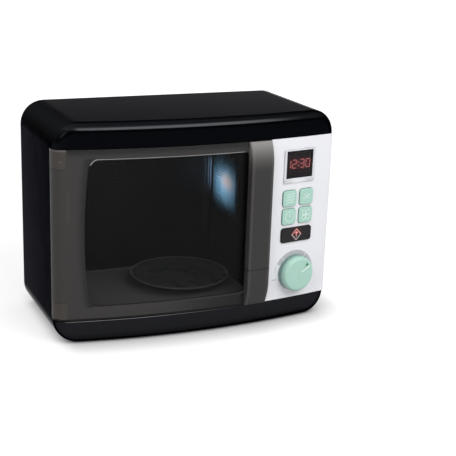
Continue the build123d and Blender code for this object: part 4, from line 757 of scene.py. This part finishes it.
def make_floor():
    """A pale floor that shows white to the camera, except in the shadow close round the part."""
    half, drop, grey = 20.0, 0.1 * mm, 0.47
    near, far, near_glow = 0.5, 1.8, 0.65
    shadow_reach, shadow_depth, left_relief = 35 * mm, 1.7, 0.95
    mesh = bpy.data.meshes.new("floor")
    corners = [(-half, -half, 0), (half, -half, 0), (half, half, 0), (-half, half, 0)]
    mesh.from_pydata(corners, [], [(0, 1, 2, 3)])
    floor = bpy.data.objects.new("floor", mesh)
    floor.location.z = -drop
    bpy.context.scene.collection.objects.link(floor)
    s = Shader("floor")
    s.set(Base_Color=(grey, grey, grey, 1), Roughness=0.9, Specular_IOR_Level=0.0)
    s.set(Emission_Color=(1, 1, 1, 1))
    distance = s.node("ShaderNodeVectorMath", operation="LENGTH")
    s.link(s.place(), distance.inputs[0])
    glow = s.span(distance.outputs["Value"], near, far, near_glow, 1.0)
    contact = s.node("ShaderNodeAmbientOcclusion", samples=8)
    contact.inputs["Distance"].default_value = shadow_reach
    open_sky = s.math("POWER", contact.outputs["AO"], shadow_depth)
    at_left = s.times(s.span(s.along(right), -128 * mm, -156 * mm), left_relief)
    open_sky = s.plus(open_sky, s.times(at_left, s.minus(1.0, open_sky)))
    s.connect("Emission Strength", s.times(glow, seen_directly(s), open_sky))
    mesh.materials.append(s.material)


def make_world():
    """A studio that is white at the horizon, where the floor meets it, and dim above."""
    stops = [(0.0, 1.0), (0.03, 0.96), (0.15, 0.26), (0.45, 0.30), (0.85, 0.9)]
    blue_lift = 1.02
    world = bpy.data.worlds.new("studio")
    world.use_nodes = True
    bpy.context.scene.world = world
    tree = world.node_tree
    place = tree.nodes.new("ShaderNodeTexCoord")
    parts = tree.nodes.new("ShaderNodeSeparateXYZ")
    ramp = tree.nodes.new("ShaderNodeValToRGB")
    tree.links.new(place.outputs["Generated"], parts.inputs[0])
    tree.links.new(parts.outputs["Z"], ramp.inputs["Fac"])
    tree.links.new(ramp.outputs["Color"], tree.nodes["Background"].inputs["Color"])
    elements = ramp.color_ramp.elements
    while len(elements) < len(stops):
        elements.new(0.5)
    for element, (at, level) in zip(elements, stops):
        element.position = at
        element.color = (level, level, level * blue_lift, 1)


def softbox(name, azimuth, elevation, size, radiance):
    """A rectangular softbox of a given radiance, aimed at the part from a direction in degrees."""
    away, target = 1.6, Vector((0, 0, height * 0.8))
    turn, rise = radians(azimuth), radians(elevation)
    towards = Vector((sin(turn) * cos(rise), -cos(turn) * cos(rise), sin(rise)))
    data = bpy.data.lights.new(name, "AREA")
    data.shape = "RECTANGLE"
    data.size, data.size_y = size
    data.energy = radiance * pi * size[0] * size[1]
    made = bpy.data.objects.new(name, data)
    made.location = target + towards * away
    made.rotation_euler = (-towards).to_track_quat("-Z", "Y").to_euler()
    bpy.context.scene.collection.objects.link(made)


def make_camera():
    """The camera: its place, direction, small roll, and the frame's shift."""
    place = (-0.4035, -1.0116, 0.4208)
    forward = Vector((0.37322, 0.87799, -0.29975)).normalized()
    yaw, roll = radians(-23.03), radians(1.65)
    focal_px, frame_px, middle_x, middle_y, sensor_mm = 1071.6, 456, 200, 240, 36
    level = Vector((cos(yaw), sin(yaw), 0))
    upright = level.cross(forward)
    rightward = level * cos(roll) + upright * sin(roll)
    upward = upright * cos(roll) - level * sin(roll)
    data = bpy.data.cameras.new("camera")
    data.sensor_width = sensor_mm
    data.lens = focal_px / frame_px * sensor_mm
    data.shift_x = 0.5 - middle_x / frame_px
    data.shift_y = middle_y / frame_px - 0.5
    made = bpy.data.objects.new("camera", data)
    rotation = Matrix((rightward, upward, -forward)).transposed().to_4x4()
    made.matrix_world = Matrix.Translation(place) @ rotation
    bpy.context.scene.collection.objects.link(made)
    bpy.context.scene.camera = made


make_floor()
make_world()
softbox("softbox_right", 19.5, 40, (1.42, 0.70), 4.9)
softbox("softbox_left", -47, 26, (0.48, 0.58), 4.35)
make_camera()
bpy.context.scene.view_settings.view_transform = "Standard"
